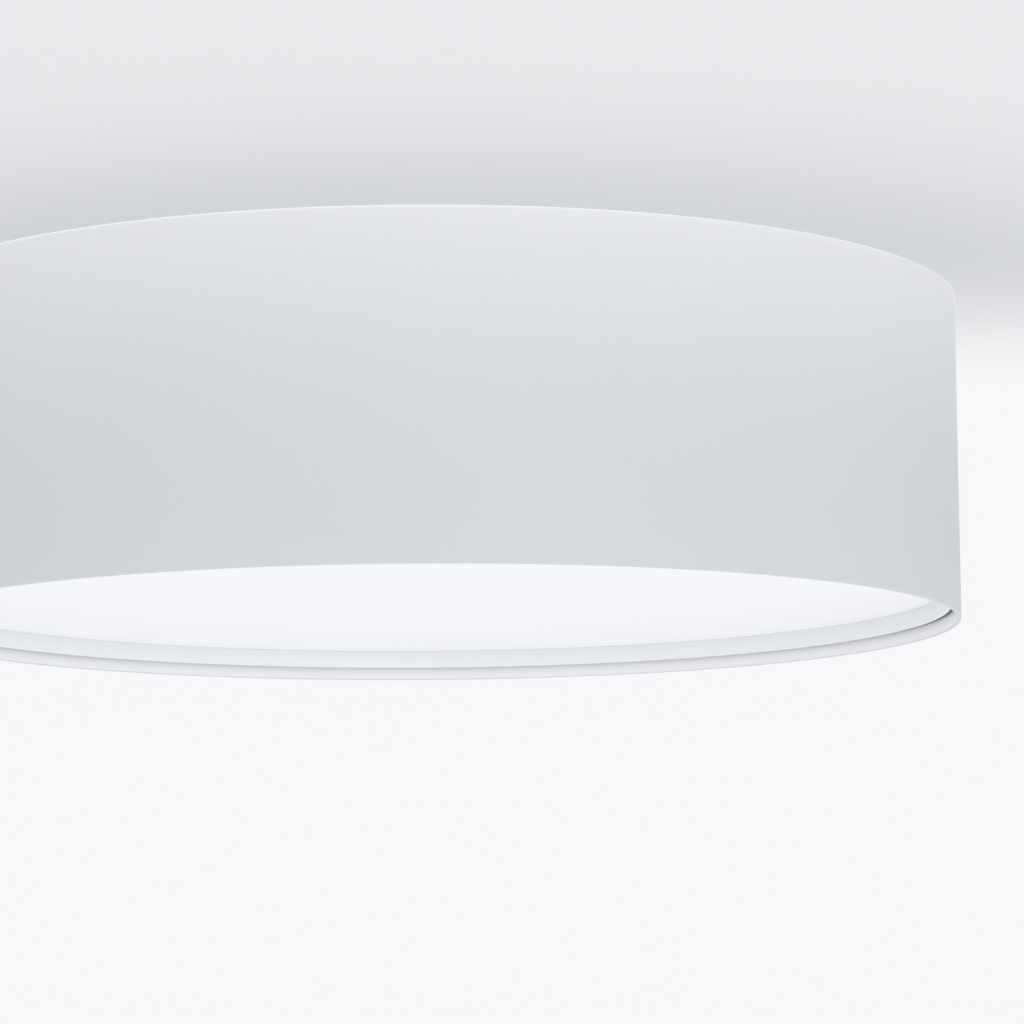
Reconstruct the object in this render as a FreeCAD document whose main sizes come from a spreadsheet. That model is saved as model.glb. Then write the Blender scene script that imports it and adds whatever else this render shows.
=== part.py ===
"""Flush mount ceiling light: a drum shade that twists onto a pressed pan, an opal
diffuser that snaps into the shade's foot, and three screw-in bulbs lying flat above it.

Frame: z = 0 is the ceiling, +Z points up into it, and the origin is the middle of the pan.
Bulbs, brackets, studs and clips are drawn along +X and then turned about Z to their places.
"""
import FreeCAD, Part
import math
import os
import re
import Sketcher

os.makedirs("parts", exist_ok=True)
doc = FreeCAD.newDocument("CeilingLight")
Vector = FreeCAD.Vector

# ---------------------------------------------------------------- driving dimensions

SIZES = [
    # the drum shade
    ("drum_radius", 250, "outside radius of the drum"),
    ("drum_height", 150, "height of the drum"),
    ("ceiling_gap", 2, "shadow gap between the ceiling and the drum"),
    ("shade_sheet", 1, "thickness of the drum's steel sheet"),
    ("hem_height", 10, "height of the folded hem at the drum's foot"),
    ("hem_round", 0.7, "slope of the hem's bottom edges"),
    # the pan on the ceiling
    ("pan_sheet", 1, "thickness of the pan's steel sheet"),
    ("pan_inset", 6, "gap between the pan's rim and the drum's wall"),
    ("pan_rim", 21, "width of the flat rim against the ceiling"),
    ("pan_depth", 8, "depth of the pan's web below the ceiling"),
    ("bead_inset", 18, "distance of the stiffening bead inside the web's edge"),
    ("bead_half", 4, "half width of the bead"),
    ("bead_rise", 2, "height of the bead above the web"),
    # fixing to the ceiling
    ("fixing_count", 3, "number of ceiling screws"),
    ("fixing_angle", 30, "angle of the first ceiling screw"),
    ("fixing_hole", 2.75, "radius of a ceiling screw's hole"),
    ("boss_top", 10, "radius of the flat top of a drawn boss"),
    # twist fixing of the shade
    ("stud_inset", 14, "distance of a shade stud inside the drum's outside"),
    ("stud_angle", 90, "angle of the first shade stud"),
    ("stud_neck", 2.5, "radius of a stud's neck"),
    ("stud_head", 5, "radius of a stud's head"),
    ("stud_head_height", 2, "height of a stud's head"),
    ("ring_drop", 4, "depth of the ring's top face below the ceiling"),
    ("ring_sheet", 1, "thickness of the ring"),
    ("ring_width", 23, "width of the ring's flat leg"),
    ("ring_skirt", 10, "height of the ring's skirt below the flat leg"),
    ("twist_angle", 15, "turn that frees the shade"),
    ("slot_play", 0.2, "play of a stud's neck in its slot, each side"),
    ("keyhole_play", 0.6, "play of a stud's head in its keyhole, each side"),
    ("seat_gap", 0.2, "running gap between pieces that turn on each other"),
    # diffuser and its frame
    ("frame_lift", 6, "height of the frame's foot above the drum's foot"),
    ("frame_gap", 0.8, "gap round the widest part of the frame"),
    ("frame_wall", 2, "thickness of the frame's wall"),
    ("frame_step", 1.7, "step in the frame's outer face"),
    ("frame_step_lift", 6.5, "height of that step above the frame's foot"),
    ("ledge_lift", 8.5, "height of the diffuser's ledge above the frame's foot"),
    ("frame_height", 13.8, "height of the frame"),
    ("sheet_thickness", 2.5, "thickness of the opal sheet"),
    ("sheet_play", 0.3, "play of the opal sheet in its frame"),
    ("ear_thickness", 2.5, "thickness of a frame ear"),
    ("ear_width", 24, "width of a frame ear"),
    ("ear_length", 19.2, "length of a frame ear inwards from the frame"),
    # snap fixing of the diffuser
    ("clip_inset", 14, "distance of a clip inside the drum's outside"),
    ("clip_angle", 30, "angle of the first clip"),
    ("clip_bracket_sheet", 1.2, "thickness of a clip bracket"),
    ("clip_bracket_lift", 10.2, "height of a clip bracket above the frame"),
    ("clip_bracket_height", 22, "height of a clip bracket on the drum's wall"),
    ("clip_bracket_turn", 7.5, "angle that a clip bracket covers"),
    ("clip_bracket_reach", 23, "reach of a clip bracket from the drum's wall"),
    ("snap_hole", 4.2, "radius of the hole that the snap stud passes"),
    ("clip_sheet", 0.5, "thickness of the leaf spring"),
    ("clip_length", 26, "length of the leaf spring's plate"),
    ("clip_width", 14, "width of the leaf spring's plate"),
    ("tongue_width", 8, "width of the leaf spring's tongues"),
    ("tongue_root", 5.3, "distance of a tongue's root from the snap stud's axis"),
    ("tongue_knee_rise", 2.7, "height of a tongue's knee above the plate"),
    ("tongue_flare", 1.6, "outward flare of a tongue above its knee"),
    ("tongue_flare_rise", 2.4, "height of that flare"),
    ("knee_gap", 0.15, "gap between a knee and the snap stud's neck"),
    ("snap_neck", 2, "radius of the snap stud's neck"),
    ("snap_head", 3, "radius of the snap stud's head"),
    ("snap_head_height", 4, "height of the snap stud's head"),
    ("snap_flange", 5, "radius of the snap stud's flange"),
    ("snap_flange_height", 1, "height of the snap stud's flange"),
    ("clip_rivet", 1.2, "radius of a clip rivet's shank"),
    ("clip_rivet_head", 2, "radius of a clip rivet's head"),
    ("clip_rivet_head_height", 0.6, "height of a clip rivet's head"),
    ("clip_rivet_spacing", 20.6, "distance between the two rivets of a clip"),
    ("rivet_play", 0.05, "play of a shank or tenon in its hole, each side"),
    # bulbs
    ("bulb_angle", 90, "angle of the first bulb"),
    ("bulb_drop", 70, "depth of the bulbs' axis below the ceiling"),
    ("bulb_start", 84, "distance of a bulb's contact from the middle"),
    ("bulb_contact_radius", 5, "radius of a bulb's centre contact"),
    ("bulb_contact_height", 1.2, "height of a bulb's centre contact"),
    ("bulb_cone_height", 4, "height of the insulating cone of a bulb's cap"),
    ("bulb_cap_radius", 13, "radius of a bulb's screw cap"),
    ("bulb_cap_length", 26, "length of a bulb from its contact to the end of its cap"),
    ("bulb_body_length", 62, "length of a bulb from its contact to its dome"),
    ("bulb_collar_radius", 13.8, "radius of a bulb's body at its cap"),
    ("bulb_dome_radius", 30, "radius of a bulb's dome"),
    ("bulb_dome_offset", 16, "distance of the dome's centre beyond its cut face"),
    # lamp holders
    ("holder_start", 62, "distance of a holder's back from the middle"),
    ("holder_length", 44, "length of a holder"),
    ("holder_radius", 20, "outside radius of a holder"),
    ("holder_back_radius", 14, "radius of a holder's flat back"),
    ("holder_slope", 5, "length of the slope round a holder's back"),
    ("holder_shoulder", 1.5, "depth of the step between a holder's cap and skirt"),
    ("holder_back_wall", 10, "thickness of a holder's back wall"),
    ("holder_chamber_radius", 9.5, "radius of the contact chamber"),
    ("holder_step", 24, "distance of the shell's seat from the holder's back"),
    ("shell_gap", 0.3, "gap between a bulb's cap and the threaded shell"),
    ("shell_sheet", 0.8, "thickness of the threaded shell"),
    ("shell_play", 0.2, "gap between the shell and the holder's bore"),
    ("shell_lip_radius", 9.2, "radius of the hole in the shell's end"),
    ("contact_sheet", 0.8, "thickness of the contact strip"),
    ("contact_strip_width", 6, "width of the contact strip"),
    ("contact_strip_half", 8.5, "half length of the strip's base"),
    ("contact_face_half", 3, "half length of the strip's contact face"),
    # what carries the holders
    ("nipple_radius", 5, "outside radius of a holder's threaded nipple"),
    ("nipple_bore", 3, "bore radius of a holder's nipple"),
    ("nipple_back", 12, "length of a nipple behind the holder"),
    ("nipple_front", 8, "length of a nipple inside the holder"),
    ("nut_radius", 8.7, "corner radius of a nipple's hexagon nut"),
    ("nut_height", 4, "height of a nipple's nut"),
    ("bracket_sheet", 1.5, "thickness of a holder bracket"),
    ("bracket_width", 36, "width of a holder bracket"),
    ("bracket_foot", 34, "length of a holder bracket's foot"),
    ("bracket_below", 18, "length of a holder bracket below the bulb's axis"),
    ("bracket_corner", 9, "rounding of a holder bracket's corners"),
    ("bracket_bend", 2.5, "outside radius of a holder bracket's bend"),
    ("bracket_screw_reach", 41, "distance of a bracket's screws from the middle"),
    ("bracket_screw_spacing", 20, "distance between the two screws of a bracket"),
    # screws into the pan's web
    ("screw_radius", 1.9, "radius of a web screw's shank"),
    ("screw_head", 3.6, "radius of a web screw's head"),
    ("screw_head_height", 2.4, "height of a web screw's head"),
    ("screw_end", 3, "length of a web screw above the web"),
    ("screw_play", 0.1, "play of a web screw in its hole, each side"),
    # wiring
    ("entry_bore", 5, "bore radius of the cable grommet"),
    ("entry_hole", 9, "radius of the grommet's hole in the web"),
    ("entry_flange", 12, "radius of the grommet's flanges"),
    ("entry_flange_height", 2.2, "height of a grommet flange"),
    ("entry_round", 0.8, "slope of the grommet's outer edges"),
    ("block_reach", 52, "distance of the terminal block from the middle"),
    ("block_width", 18, "width of the terminal block"),
    ("block_height", 16, "height of the terminal block"),
    ("block_ways", 4, "number of terminals"),
    ("block_pitch", 12, "spacing of the terminals"),
    ("block_shoulder", 5, "depth of the gaps between the terminals"),
    ("block_gap", 2.4, "width of the gaps between the terminals"),
    ("block_entry", 2.2, "half width of a terminal's square wire entry"),
    ("block_entry_depth", 7, "depth of a terminal's wire entry"),
    ("block_well", 2.4, "radius of a terminal's screw well"),
    ("block_well_depth", 8, "depth of a terminal's screw well"),
    ("block_screw", 1.4, "radius of a block screw's shank"),
    ("block_screw_head", 2.6, "radius of a block screw's head"),
    ("block_screw_well", 2.8, "radius of the recess round a block screw's head"),
    ("clamp_gap", 2, "gap between the cable clamp and the grommet"),
    ("wiring_gap", 13, "room for the cores between the clamp and the terminal block"),
    ("clamp_length", 30, "length of the cable clamp"),
    ("clamp_width", 8, "width of the cable clamp"),
    ("clamp_sheet", 2.5, "thickness of the cable clamp"),
    ("clamp_arch", 9, "height of the cable clamp"),
    ("clamp_arch_half", 6, "half width of the clamp's arch at its top"),
    ("clamp_arch_slope", 1.5, "slope of each side of the clamp's arch"),
    ("clamp_screw_spacing", 23, "distance between the clamp's two screws"),
    ("earth_gap", 12, "distance of the earth screw beyond the block's end"),
    ("earth_shift", 6, "distance of the earth screw behind the block's middle line"),
    ("earth_tag", 5, "radius of the earth lead's ring tag"),
    ("earth_tag_sheet", 0.8, "thickness of the ring tag"),
    ("earth_lead_radius", 1.4, "radius of the earth lead"),
    ("holder_lead_radius", 2.5, "radius of a holder's sleeved lead"),
]

sheet = doc.addObject("Spreadsheet::Sheet", "Sizes")
for row, (alias, number, meaning) in enumerate(SIZES, start=1):
    sheet.set(f"A{row}", meaning)
    sheet.set(f"B{row}", str(number))
    sheet.setAlias(f"B{row}", alias)
doc.recompute()
ALIASES = {alias for alias, number, meaning in SIZES}

# names for sizes that several pieces share, as expressions over the sheet
SHADE_TOP = "ceiling_gap"
SHADE_FOOT = "ceiling_gap + drum_height"
DRUM_INSIDE = "drum_radius - shade_sheet"
HEM_INSIDE = "drum_radius - 2 * shade_sheet"
PAN_RADIUS = "drum_radius - shade_sheet - pan_inset"
RIM_INSIDE = f"{PAN_RADIUS} - pan_rim"
WEB_RADIUS = f"{RIM_INSIDE} - pan_depth"
BEAD_CIRCLE = f"{WEB_RADIUS} - bead_inset"
BEAD_IN = f"{BEAD_CIRCLE} - bead_half"
BEAD_OUT = f"{BEAD_CIRCLE} + bead_half"
WEB_UNDER = "pan_depth + pan_sheet"
PRESS_SHIFT = "pan_sheet * tan(22.5)"
BOSS_BASE = "boss_top + pan_depth"
CLAMP_REACH = "block_reach + block_width / 2 + wiring_gap + clamp_width / 2"
ENTRY_REACH = f"{CLAMP_REACH} + clamp_width / 2 + clamp_gap + entry_flange"
BLOCK_LENGTH = "block_ways * block_pitch"
EARTH_X = f"{BLOCK_LENGTH} / 2 + earth_gap"
EARTH_Y = "block_reach + earth_shift"
# the ceiling screws stand halfway between the cable entry and the bead
FIXING_CIRCLE = f"({ENTRY_REACH} + entry_flange + {BEAD_IN}) / 2"
STUD_CIRCLE = "(drum_radius - stud_inset)"
CLIP_CIRCLE = "(drum_radius - clip_inset)"
RING_UNDER = "ring_drop + ring_sheet"
FRAME_FOOT = "ceiling_gap + drum_height - frame_lift"
FRAME_OUTSIDE = "drum_radius - 2 * shade_sheet - frame_gap"
FRAME_LOWER = f"{FRAME_OUTSIDE} - frame_step"
FRAME_INSIDE = f"{FRAME_LOWER} - frame_wall"
FRAME_UPPER = f"{FRAME_OUTSIDE} - frame_wall"
FRAME_TOP = f"{FRAME_FOOT} - frame_height"
LEDGE = f"{FRAME_FOOT} - ledge_lift"
CLIP_UNDER = f"{FRAME_TOP} - clip_bracket_lift"
CLIP_SEAT = f"{CLIP_UNDER} - clip_bracket_sheet"
CLIP_TOP = f"{CLIP_SEAT} - clip_sheet"
KNEE = "snap_neck + knee_gap"
KNEE_LEVEL = f"{CLIP_TOP} - tongue_knee_rise"
SHELL_OUTSIDE = "bulb_cap_radius + shell_gap + shell_sheet"
SHELL_BORE = f"{SHELL_OUTSIDE} + shell_play"
BRACKET_BACK = "holder_start - bracket_sheet"
BLOCK_UNDER = f"{WEB_UNDER} + block_height"
SCREW_HOLE = "screw_radius + screw_play"
BLOCK_HOLE = "block_screw + screw_play"

# ---------------------------------------------------------------- drawing helpers


def cells(text):
    """Text of an expression with every size written as the sheet's cell."""
    return re.sub(r"[a-z_]+", lambda m: f"Sizes.{m[0]}" if m[0] in ALIASES else m[0], text)


def value(text):
    """Present value of an expression over the sheet."""
    return float(sheet.evalExpression(cells(text)))


def minus(text):
    return f"-({text})"


def polar(radius, angle):
    """Place on a circle, as expressions for x and y."""
    return f"({radius}) * cos({angle})", f"({radius}) * sin({angle})"


def turned(first, index, count=3):
    """Angle of one of a ring of like pieces."""
    return f"{first} + {360 // count * index}"


def body(name):
    made = doc.addObject("PartDesign::Body", name)
    made.Label = name
    return made


def origin_part(owner, role):
    return next(part for part in owner.Origin.OriginFeatures if part.Role == role)


def bind(thing, prop, text):
    thing.setExpression(prop, cells(text))


def place(thing, x="0", y="0", z="0", turn=None):
    """Move a piece to its place, with x, y and z tied to the sheet."""
    for axis, text in zip("xyz", (x, y, z)):
        if text != "0":
            bind(thing, f"Placement.Base.{axis}", text)
    if turn:
        bind(thing, "Placement.Rotation.Angle", turn)


def new_sketch(owner, name, role, lift=None):
    """Empty sketch on one of the body's origin planes, lifted along its normal."""
    sketch = owner.newObject("Sketcher::SketchObject", f"{owner.Name}_{name}")
    sketch.AttachmentSupport = [(origin_part(owner, role), "")]
    sketch.MapMode = "FlatFace"
    if lift:
        bind(sketch, "AttachmentOffset.Base.z", lift)
    return sketch


def tie(sketch, kind, name, text, *where):
    """Dimension of a sketch that follows an expression."""
    index = sketch.addConstraint(Sketcher.Constraint(kind, *where, value(text)))
    sketch.renameConstraint(index, name)
    bind(sketch, f"Constraints.{name}", text)


def draw_loop(sketch, corners):
    """Closed loop of straight lines, each corner tied to the sheet."""
    first = sketch.GeometryCount
    points = [Vector(value(x), value(y), 0) for x, y in corners]
    total = len(points)
    for i in range(total):
        sketch.addGeometry(Part.LineSegment(points[i], points[(i + 1) % total]))
    for i in range(total):
        here = first + i
        after = first + (i + 1) % total
        sketch.addConstraint(Sketcher.Constraint("Coincident", here, 2, after, 1))
    for i, (x, y) in enumerate(corners):
        tie(sketch, "DistanceX", f"x{first + i}", x, -1, 1, first + i, 1)
        tie(sketch, "DistanceY", f"y{first + i}", y, -1, 1, first + i, 1)


def draw_circle(sketch, x, y, radius):
    here = sketch.GeometryCount
    middle = Vector(value(x), value(y), 0)
    sketch.addGeometry(Part.Circle(middle, Vector(0, 0, 1), value(radius)))
    tie(sketch, "Radius", f"r{here}", radius, here)
    tie(sketch, "DistanceX", f"x{here}", x, -1, 1, here, 3)
    tie(sketch, "DistanceY", f"y{here}", y, -1, 1, here, 3)


def draw_polygon(sketch, radius, sides):
    """Regular polygon about the sketch's origin, its corners on a circle."""
    draw_loop(sketch, [polar(radius, f"{360 // sides * i}") for i in range(sides)])


def box_corners(x_low, x_high, y_low, y_high):
    return [(x_low, y_low), (x_high, y_low), (x_high, y_high), (x_low, y_high)]


def revolve(owner, sketch, axis="V_Axis", kind="Revolution", angle=None, middle=False):
    """Turn a profile about the sketch's upright (V) or level (H) axis."""
    made = owner.newObject(f"PartDesign::{kind}", f"{sketch.Name}_{kind}")
    made.Profile = sketch
    made.ReferenceAxis = (sketch, [axis])
    made.Angle = 360
    made.Midplane = middle
    if angle:
        bind(made, "Angle", angle)
    return made


def turned_body(name, corners, axis="V_Axis"):
    """Body of a profile in the XZ plane, turned all the way round."""
    made = body(name)
    sketch = new_sketch(made, "profile", "XZ_Plane")
    draw_loop(sketch, corners)
    revolve(made, sketch, axis)
    return made


def pad(owner, sketch, length, middle=False, backwards=False):
    made = owner.newObject("PartDesign::Pad", f"{sketch.Name}_Pad")
    made.Profile = sketch
    made.Midplane = middle
    made.Reversed = backwards
    bind(made, "Length", length)
    return made


def prism(owner, name, radius, sides, level, height):
    """Upright prism on a polygon; level is the depth of its top below the ceiling."""
    outline = new_sketch(owner, name, "XY_Plane", minus(level))
    draw_polygon(outline, radius, sides)
    return pad(owner, outline, height, backwards=True)


def cut_through(owner, sketch):
    """Cut a sketch right through the body, both ways."""
    made = owner.newObject("PartDesign::Pocket", f"{sketch.Name}_Pocket")
    made.Profile = sketch
    made.Type = "ThroughAll"
    made.Midplane = True
    return made


def cut_depth(owner, sketch, depth, backwards=False):
    made = owner.newObject("PartDesign::Pocket", f"{sketch.Name}_Pocket")
    made.Profile = sketch
    made.Reversed = backwards
    bind(made, "Length", depth)
    return made


def repeat_round(owner, features, count="3"):
    """Repeat features evenly about the body's upright axis."""
    made = owner.newObject("PartDesign::PolarPattern", f"{features[-1].Name}_Round")
    made.Originals = features
    made.Axis = (origin_part(owner, "Z_Axis"), [""])
    made.Angle = 360
    bind(made, "Occurrences", count)
    owner.Tip = made
    return made


def round_edges(owner, base, radius, wanted):
    """Round the edges of a feature that a test on the edge picks."""
    doc.recompute()
    names = [f"Edge{i}" for i, edge in enumerate(base.Shape.Edges, start=1) if wanted(edge)]
    made = owner.newObject("PartDesign::Fillet", f"{base.Name}_Fillet")
    made.Base = (base, names)
    bind(made, "Radius", radius)
    owner.Tip = made
    return made


def group(name, members):
    """One sub-part of several like pieces that stay separate solids."""
    made = doc.addObject("Part::Compound", name)
    made.Label = name
    made.Links = members
    return made


def near(a, b):
    return abs(a - b) < 1e-4


# ---------------------------------------------------------------- the pan on the ceiling


def web_holes():
    """Places and radii of the plain holes in the pan's web."""
    holes = [("0", minus(ENTRY_REACH), "entry_hole")]
    for k in range(3):
        angle = turned("bulb_angle", k)
        along = polar("bracket_screw_reach", angle)
        for side in ("+", "-"):
            x = f"{along[0]} {side} bracket_screw_spacing / 2 * sin({angle})"
            y = f"{along[1]} {'-' if side == '+' else '+'} bracket_screw_spacing / 2 * cos({angle})"
            holes.append((x, y, SCREW_HOLE))
    for side in ("-", ""):
        holes.append((f"{side}block_pitch", minus("block_reach"), BLOCK_HOLE))
        holes.append((f"{side}clamp_screw_spacing / 2", minus(CLAMP_REACH), SCREW_HOLE))
    holes.append((EARTH_X, minus(EARTH_Y), SCREW_HOLE))
    return holes


def ceiling_pan():
    """Pressed steel pan: flat rim on the ceiling, sloped wall, web and drawn bosses."""
    pan = body("ceiling_pan")
    profile = new_sketch(pan, "profile", "XZ_Plane")
    draw_loop(profile, [
        ("0", minus("pan_depth")),
        (BEAD_IN, minus("pan_depth")),
        (BEAD_CIRCLE, minus("pan_depth - bead_rise")),
        (BEAD_OUT, minus("pan_depth")),
        (WEB_RADIUS, minus("pan_depth")),
        (RIM_INSIDE, "0"),
        (PAN_RADIUS, "0"),
        (PAN_RADIUS, "-pan_sheet"),
        (f"{RIM_INSIDE} + {PRESS_SHIFT}", "-pan_sheet"),
        (f"{WEB_RADIUS} + {PRESS_SHIFT}", minus(WEB_UNDER)),
        (BEAD_OUT, minus(WEB_UNDER)),
        (BEAD_CIRCLE, minus(f"{WEB_UNDER} - bead_rise")),
        (BEAD_IN, minus(WEB_UNDER)),
        ("0", minus(WEB_UNDER)),
    ])
    revolve(pan, profile)
    boss = cone(pan, "PartDesign::AdditiveCone", "boss", "pan_depth", BOSS_BASE, "boss_top", "pan_depth")
    hollow_base = f"{BOSS_BASE} - {PRESS_SHIFT}"
    hollow_top = f"boss_top - {PRESS_SHIFT}"
    hollow = cone(pan, "PartDesign::SubtractiveCone", "hollow", WEB_UNDER, hollow_base, hollow_top, "pan_depth")
    fixing = new_sketch(pan, "fixing", "XY_Plane")
    draw_circle(fixing, *polar(FIXING_CIRCLE, "fixing_angle"), "fixing_hole")
    repeat_round(pan, [boss, hollow, cut_through(pan, fixing)], "fixing_count")
    holes = new_sketch(pan, "holes", "XY_Plane")
    for x, y, radius in web_holes():
        draw_circle(holes, x, y, radius)
    for k in range(3):
        x, y = polar(STUD_CIRCLE, turned("stud_angle", k))
        draw_circle(holes, x, y, "stud_neck + rivet_play")
    cut_through(pan, holes)
    return pan


def cone(owner, kind, name, depth, base_radius, top_radius, height):
    """Cone on a fixing's axis, its base at a depth below the ceiling."""
    made = owner.newObject(kind, f"{owner.Name}_{name}")
    made.AttachmentSupport = [(origin_part(owner, "XY_Plane"), "")]
    made.MapMode = "FlatFace"
    x, y = polar(FIXING_CIRCLE, "fixing_angle")
    bind(made, "AttachmentOffset.Base.x", x)
    bind(made, "AttachmentOffset.Base.y", y)
    bind(made, "AttachmentOffset.Base.z", minus(depth))
    bind(made, "Radius1", base_radius)
    bind(made, "Radius2", top_radius)
    bind(made, "Height", height)
    return made


def shade_stud(k):
    """Headed stud riveted into the pan's rim, head down, for the shade's keyholes."""
    head_top = f"{RING_UNDER} + seat_gap"
    head_foot = f"{head_top} + stud_head_height"
    stud = turned_body(f"shade_stud_{k + 1}", [
        ("0", "0"),
        ("stud_neck", "0"),
        ("stud_neck", minus(head_top)),
        ("stud_head", minus(head_top)),
        ("stud_head", minus(head_foot)),
        ("0", minus(head_foot)),
    ])
    x, y = polar(STUD_CIRCLE, turned("stud_angle", k))
    place(stud, x, y)
    return stud


def cable_grommet():
    """Soft grommet in the web, through which the supply cable comes down."""
    upper = "pan_depth - entry_flange_height"
    lower = f"{WEB_UNDER} + entry_flange_height"
    grommet = turned_body("cable_grommet", [
        ("entry_bore", minus(upper)),
        ("entry_flange - entry_round", minus(upper)),
        ("entry_flange", "-pan_depth"),
        ("entry_hole", "-pan_depth"),
        ("entry_hole", minus(WEB_UNDER)),
        ("entry_flange", minus(WEB_UNDER)),
        ("entry_flange - entry_round", minus(lower)),
        ("entry_bore", minus(lower)),
    ])
    place(grommet, y=minus(ENTRY_REACH))
    return grommet


# ---------------------------------------------------------------- wiring on the pan


def web_screw(name, seat, x, y, shank="screw_radius", head="screw_head"):
    """Hexagon screw up into the web: seat is the depth of the face under its head."""
    end = "pan_depth - screw_end"
    screw = body(name)
    prism(screw, "shank", shank, 8, end, f"{seat} - ({end})")
    prism(screw, "head", head, 6, seat, "screw_head_height")
    place(screw, x, y)
    return screw


def terminal_places():
    """Distances of the terminals along the block from its middle."""
    ways = int(value("block_ways"))
    return [f"({i} - (block_ways - 1) / 2) * block_pitch" for i in range(ways)]


def terminal_block():
    """Moulded screw terminal block with a notch between each pair of ways."""
    block = body("terminal_block")
    side = new_sketch(block, "side", "XZ_Plane", "block_reach")
    half = f"{BLOCK_LENGTH} / 2"
    shoulder = f"{BLOCK_UNDER} - block_shoulder"
    corners = [(minus(half), minus(WEB_UNDER)), (minus(half), minus(shoulder))]
    corners.append((f"{terminal_places()[0]} - (block_pitch - block_gap) / 2", minus(shoulder)))
    for middle in terminal_places():
        left = f"{middle} - (block_pitch - block_gap) / 2"
        right = f"{middle} + (block_pitch - block_gap) / 2"
        corners += [(left, minus(BLOCK_UNDER)), (right, minus(BLOCK_UNDER))]
        corners.append((right, minus(shoulder)))
        if middle != terminal_places()[-1]:
            corners.append((f"{right} + block_gap", minus(shoulder)))
    corners += [(half, minus(shoulder)), (half, minus(WEB_UNDER))]
    draw_loop(side, corners)
    pad(block, side, "block_width", middle=True)
    wells = new_sketch(block, "wells", "XY_Plane", minus(BLOCK_UNDER))
    for middle in terminal_places():
        draw_circle(wells, middle, minus("block_reach"), "block_well")
    cut_depth(block, wells, "block_well_depth", backwards=True)
    entry_level = f"{BLOCK_UNDER} - block_well_depth"
    for name, reach, backwards in (("inner", "block_reach - block_width / 2", False),
                                   ("outer", "block_reach + block_width / 2", True)):
        entries = new_sketch(block, name, "XZ_Plane", reach)
        for middle in terminal_places():
            draw_loop(entries, box_corners(f"{middle} - block_entry", f"{middle} + block_entry",
                                           minus(f"{entry_level} + block_entry"),
                                           minus(f"{entry_level} - block_entry")))
        cut_depth(block, entries, "block_entry_depth", backwards=not backwards)
    recess = new_sketch(block, "recess", "XY_Plane", minus(BLOCK_UNDER))
    fixing = new_sketch(block, "fixing", "XY_Plane")
    for side in ("-", ""):
        draw_circle(recess, f"{side}block_pitch", minus("block_reach"), "block_screw_well")
        draw_circle(fixing, f"{side}block_pitch", minus("block_reach"), BLOCK_HOLE)
    cut_depth(block, recess, "block_shoulder", backwards=True)
    cut_through(block, fixing)
    return block


def terminal_screws():
    """Clamping screws in the terminal block's wells."""
    screws = []
    seat = f"{BLOCK_UNDER} - block_well_depth"
    for i, middle in enumerate(terminal_places()):
        screw = body(f"terminal_screw_{i + 1}")
        prism(screw, "screw", "block_well - screw_play", 8, seat, "block_well_depth * 2 / 3")
        place(screw, middle, minus("block_reach"))
        screws.append(screw)
    return group("terminal_screws", screws)


def block_screws():
    seat = f"{BLOCK_UNDER} - block_shoulder"
    return group("block_screws", [
        web_screw(f"block_screw_{i}", seat, f"{side}block_pitch", minus("block_reach"),
                  "block_screw", "block_screw_head")
        for i, side in ((1, "-"), (2, ""))
    ])


def cable_clamp():
    """Saddle that grips the supply cable between the entry and the terminals."""
    clamp = body("cable_clamp")
    side = new_sketch(clamp, "side", "XZ_Plane", CLAMP_REACH)
    foot = f"{WEB_UNDER} + clamp_sheet"
    crown = f"{WEB_UNDER} + clamp_arch"
    right = [
        ("clamp_arch_half - clamp_sheet / 2", minus(f"{crown} - clamp_sheet")),
        ("clamp_arch_half + clamp_arch_slope - clamp_sheet / 2", minus(WEB_UNDER)),
        ("clamp_length / 2", minus(WEB_UNDER)),
        ("clamp_length / 2", minus(foot)),
        ("clamp_arch_half + clamp_arch_slope", minus(foot)),
        ("clamp_arch_half", minus(crown)),
    ]
    left = [(minus(x), y) for x, y in reversed(right)]
    draw_loop(side, right + left)
    pad(clamp, side, "clamp_width", middle=True)
    fixing = new_sketch(clamp, "fixing", "XY_Plane")
    for side in ("-", ""):
        draw_circle(fixing, f"{side}clamp_screw_spacing / 2", minus(CLAMP_REACH), SCREW_HOLE)
    cut_through(clamp, fixing)
    return clamp


def clamp_screws():
    seat = f"{WEB_UNDER} + clamp_sheet"
    return group("clamp_screws", [
        web_screw("clamp_screw_1", seat, "-clamp_screw_spacing / 2", minus(CLAMP_REACH)),
        web_screw("clamp_screw_2", seat, "clamp_screw_spacing / 2", minus(CLAMP_REACH)),
    ])


def earth_screw():
    return web_screw("earth_screw", f"{WEB_UNDER} + earth_tag_sheet", EARTH_X, minus(EARTH_Y))


def rounded_path(points):
    """Straight runs joined by the largest tangent arcs that the runs allow."""
    edges = []
    start = points[0]
    for i in range(1, len(points) - 1):
        corner = points[i]
        before = points[i - 1] - corner
        after = points[i + 1] - corner
        turn = math.pi - before.getAngle(after)
        setback = 0.45 * min(before.Length, after.Length)
        radius = setback / math.tan(turn / 2)
        entry = corner + before.normalize() * setback
        leave = corner + after.normalize() * setback
        towards = (before + after).normalize()
        middle = corner + towards * (radius / math.cos(turn / 2) - radius)
        edges.append(Part.makeLine(start, entry))
        edges.append(Part.Arc(entry, middle, leave).toShape())
        start = leave
    edges.append(Part.makeLine(start, points[-1]))
    return Part.Wire(edges)


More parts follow.
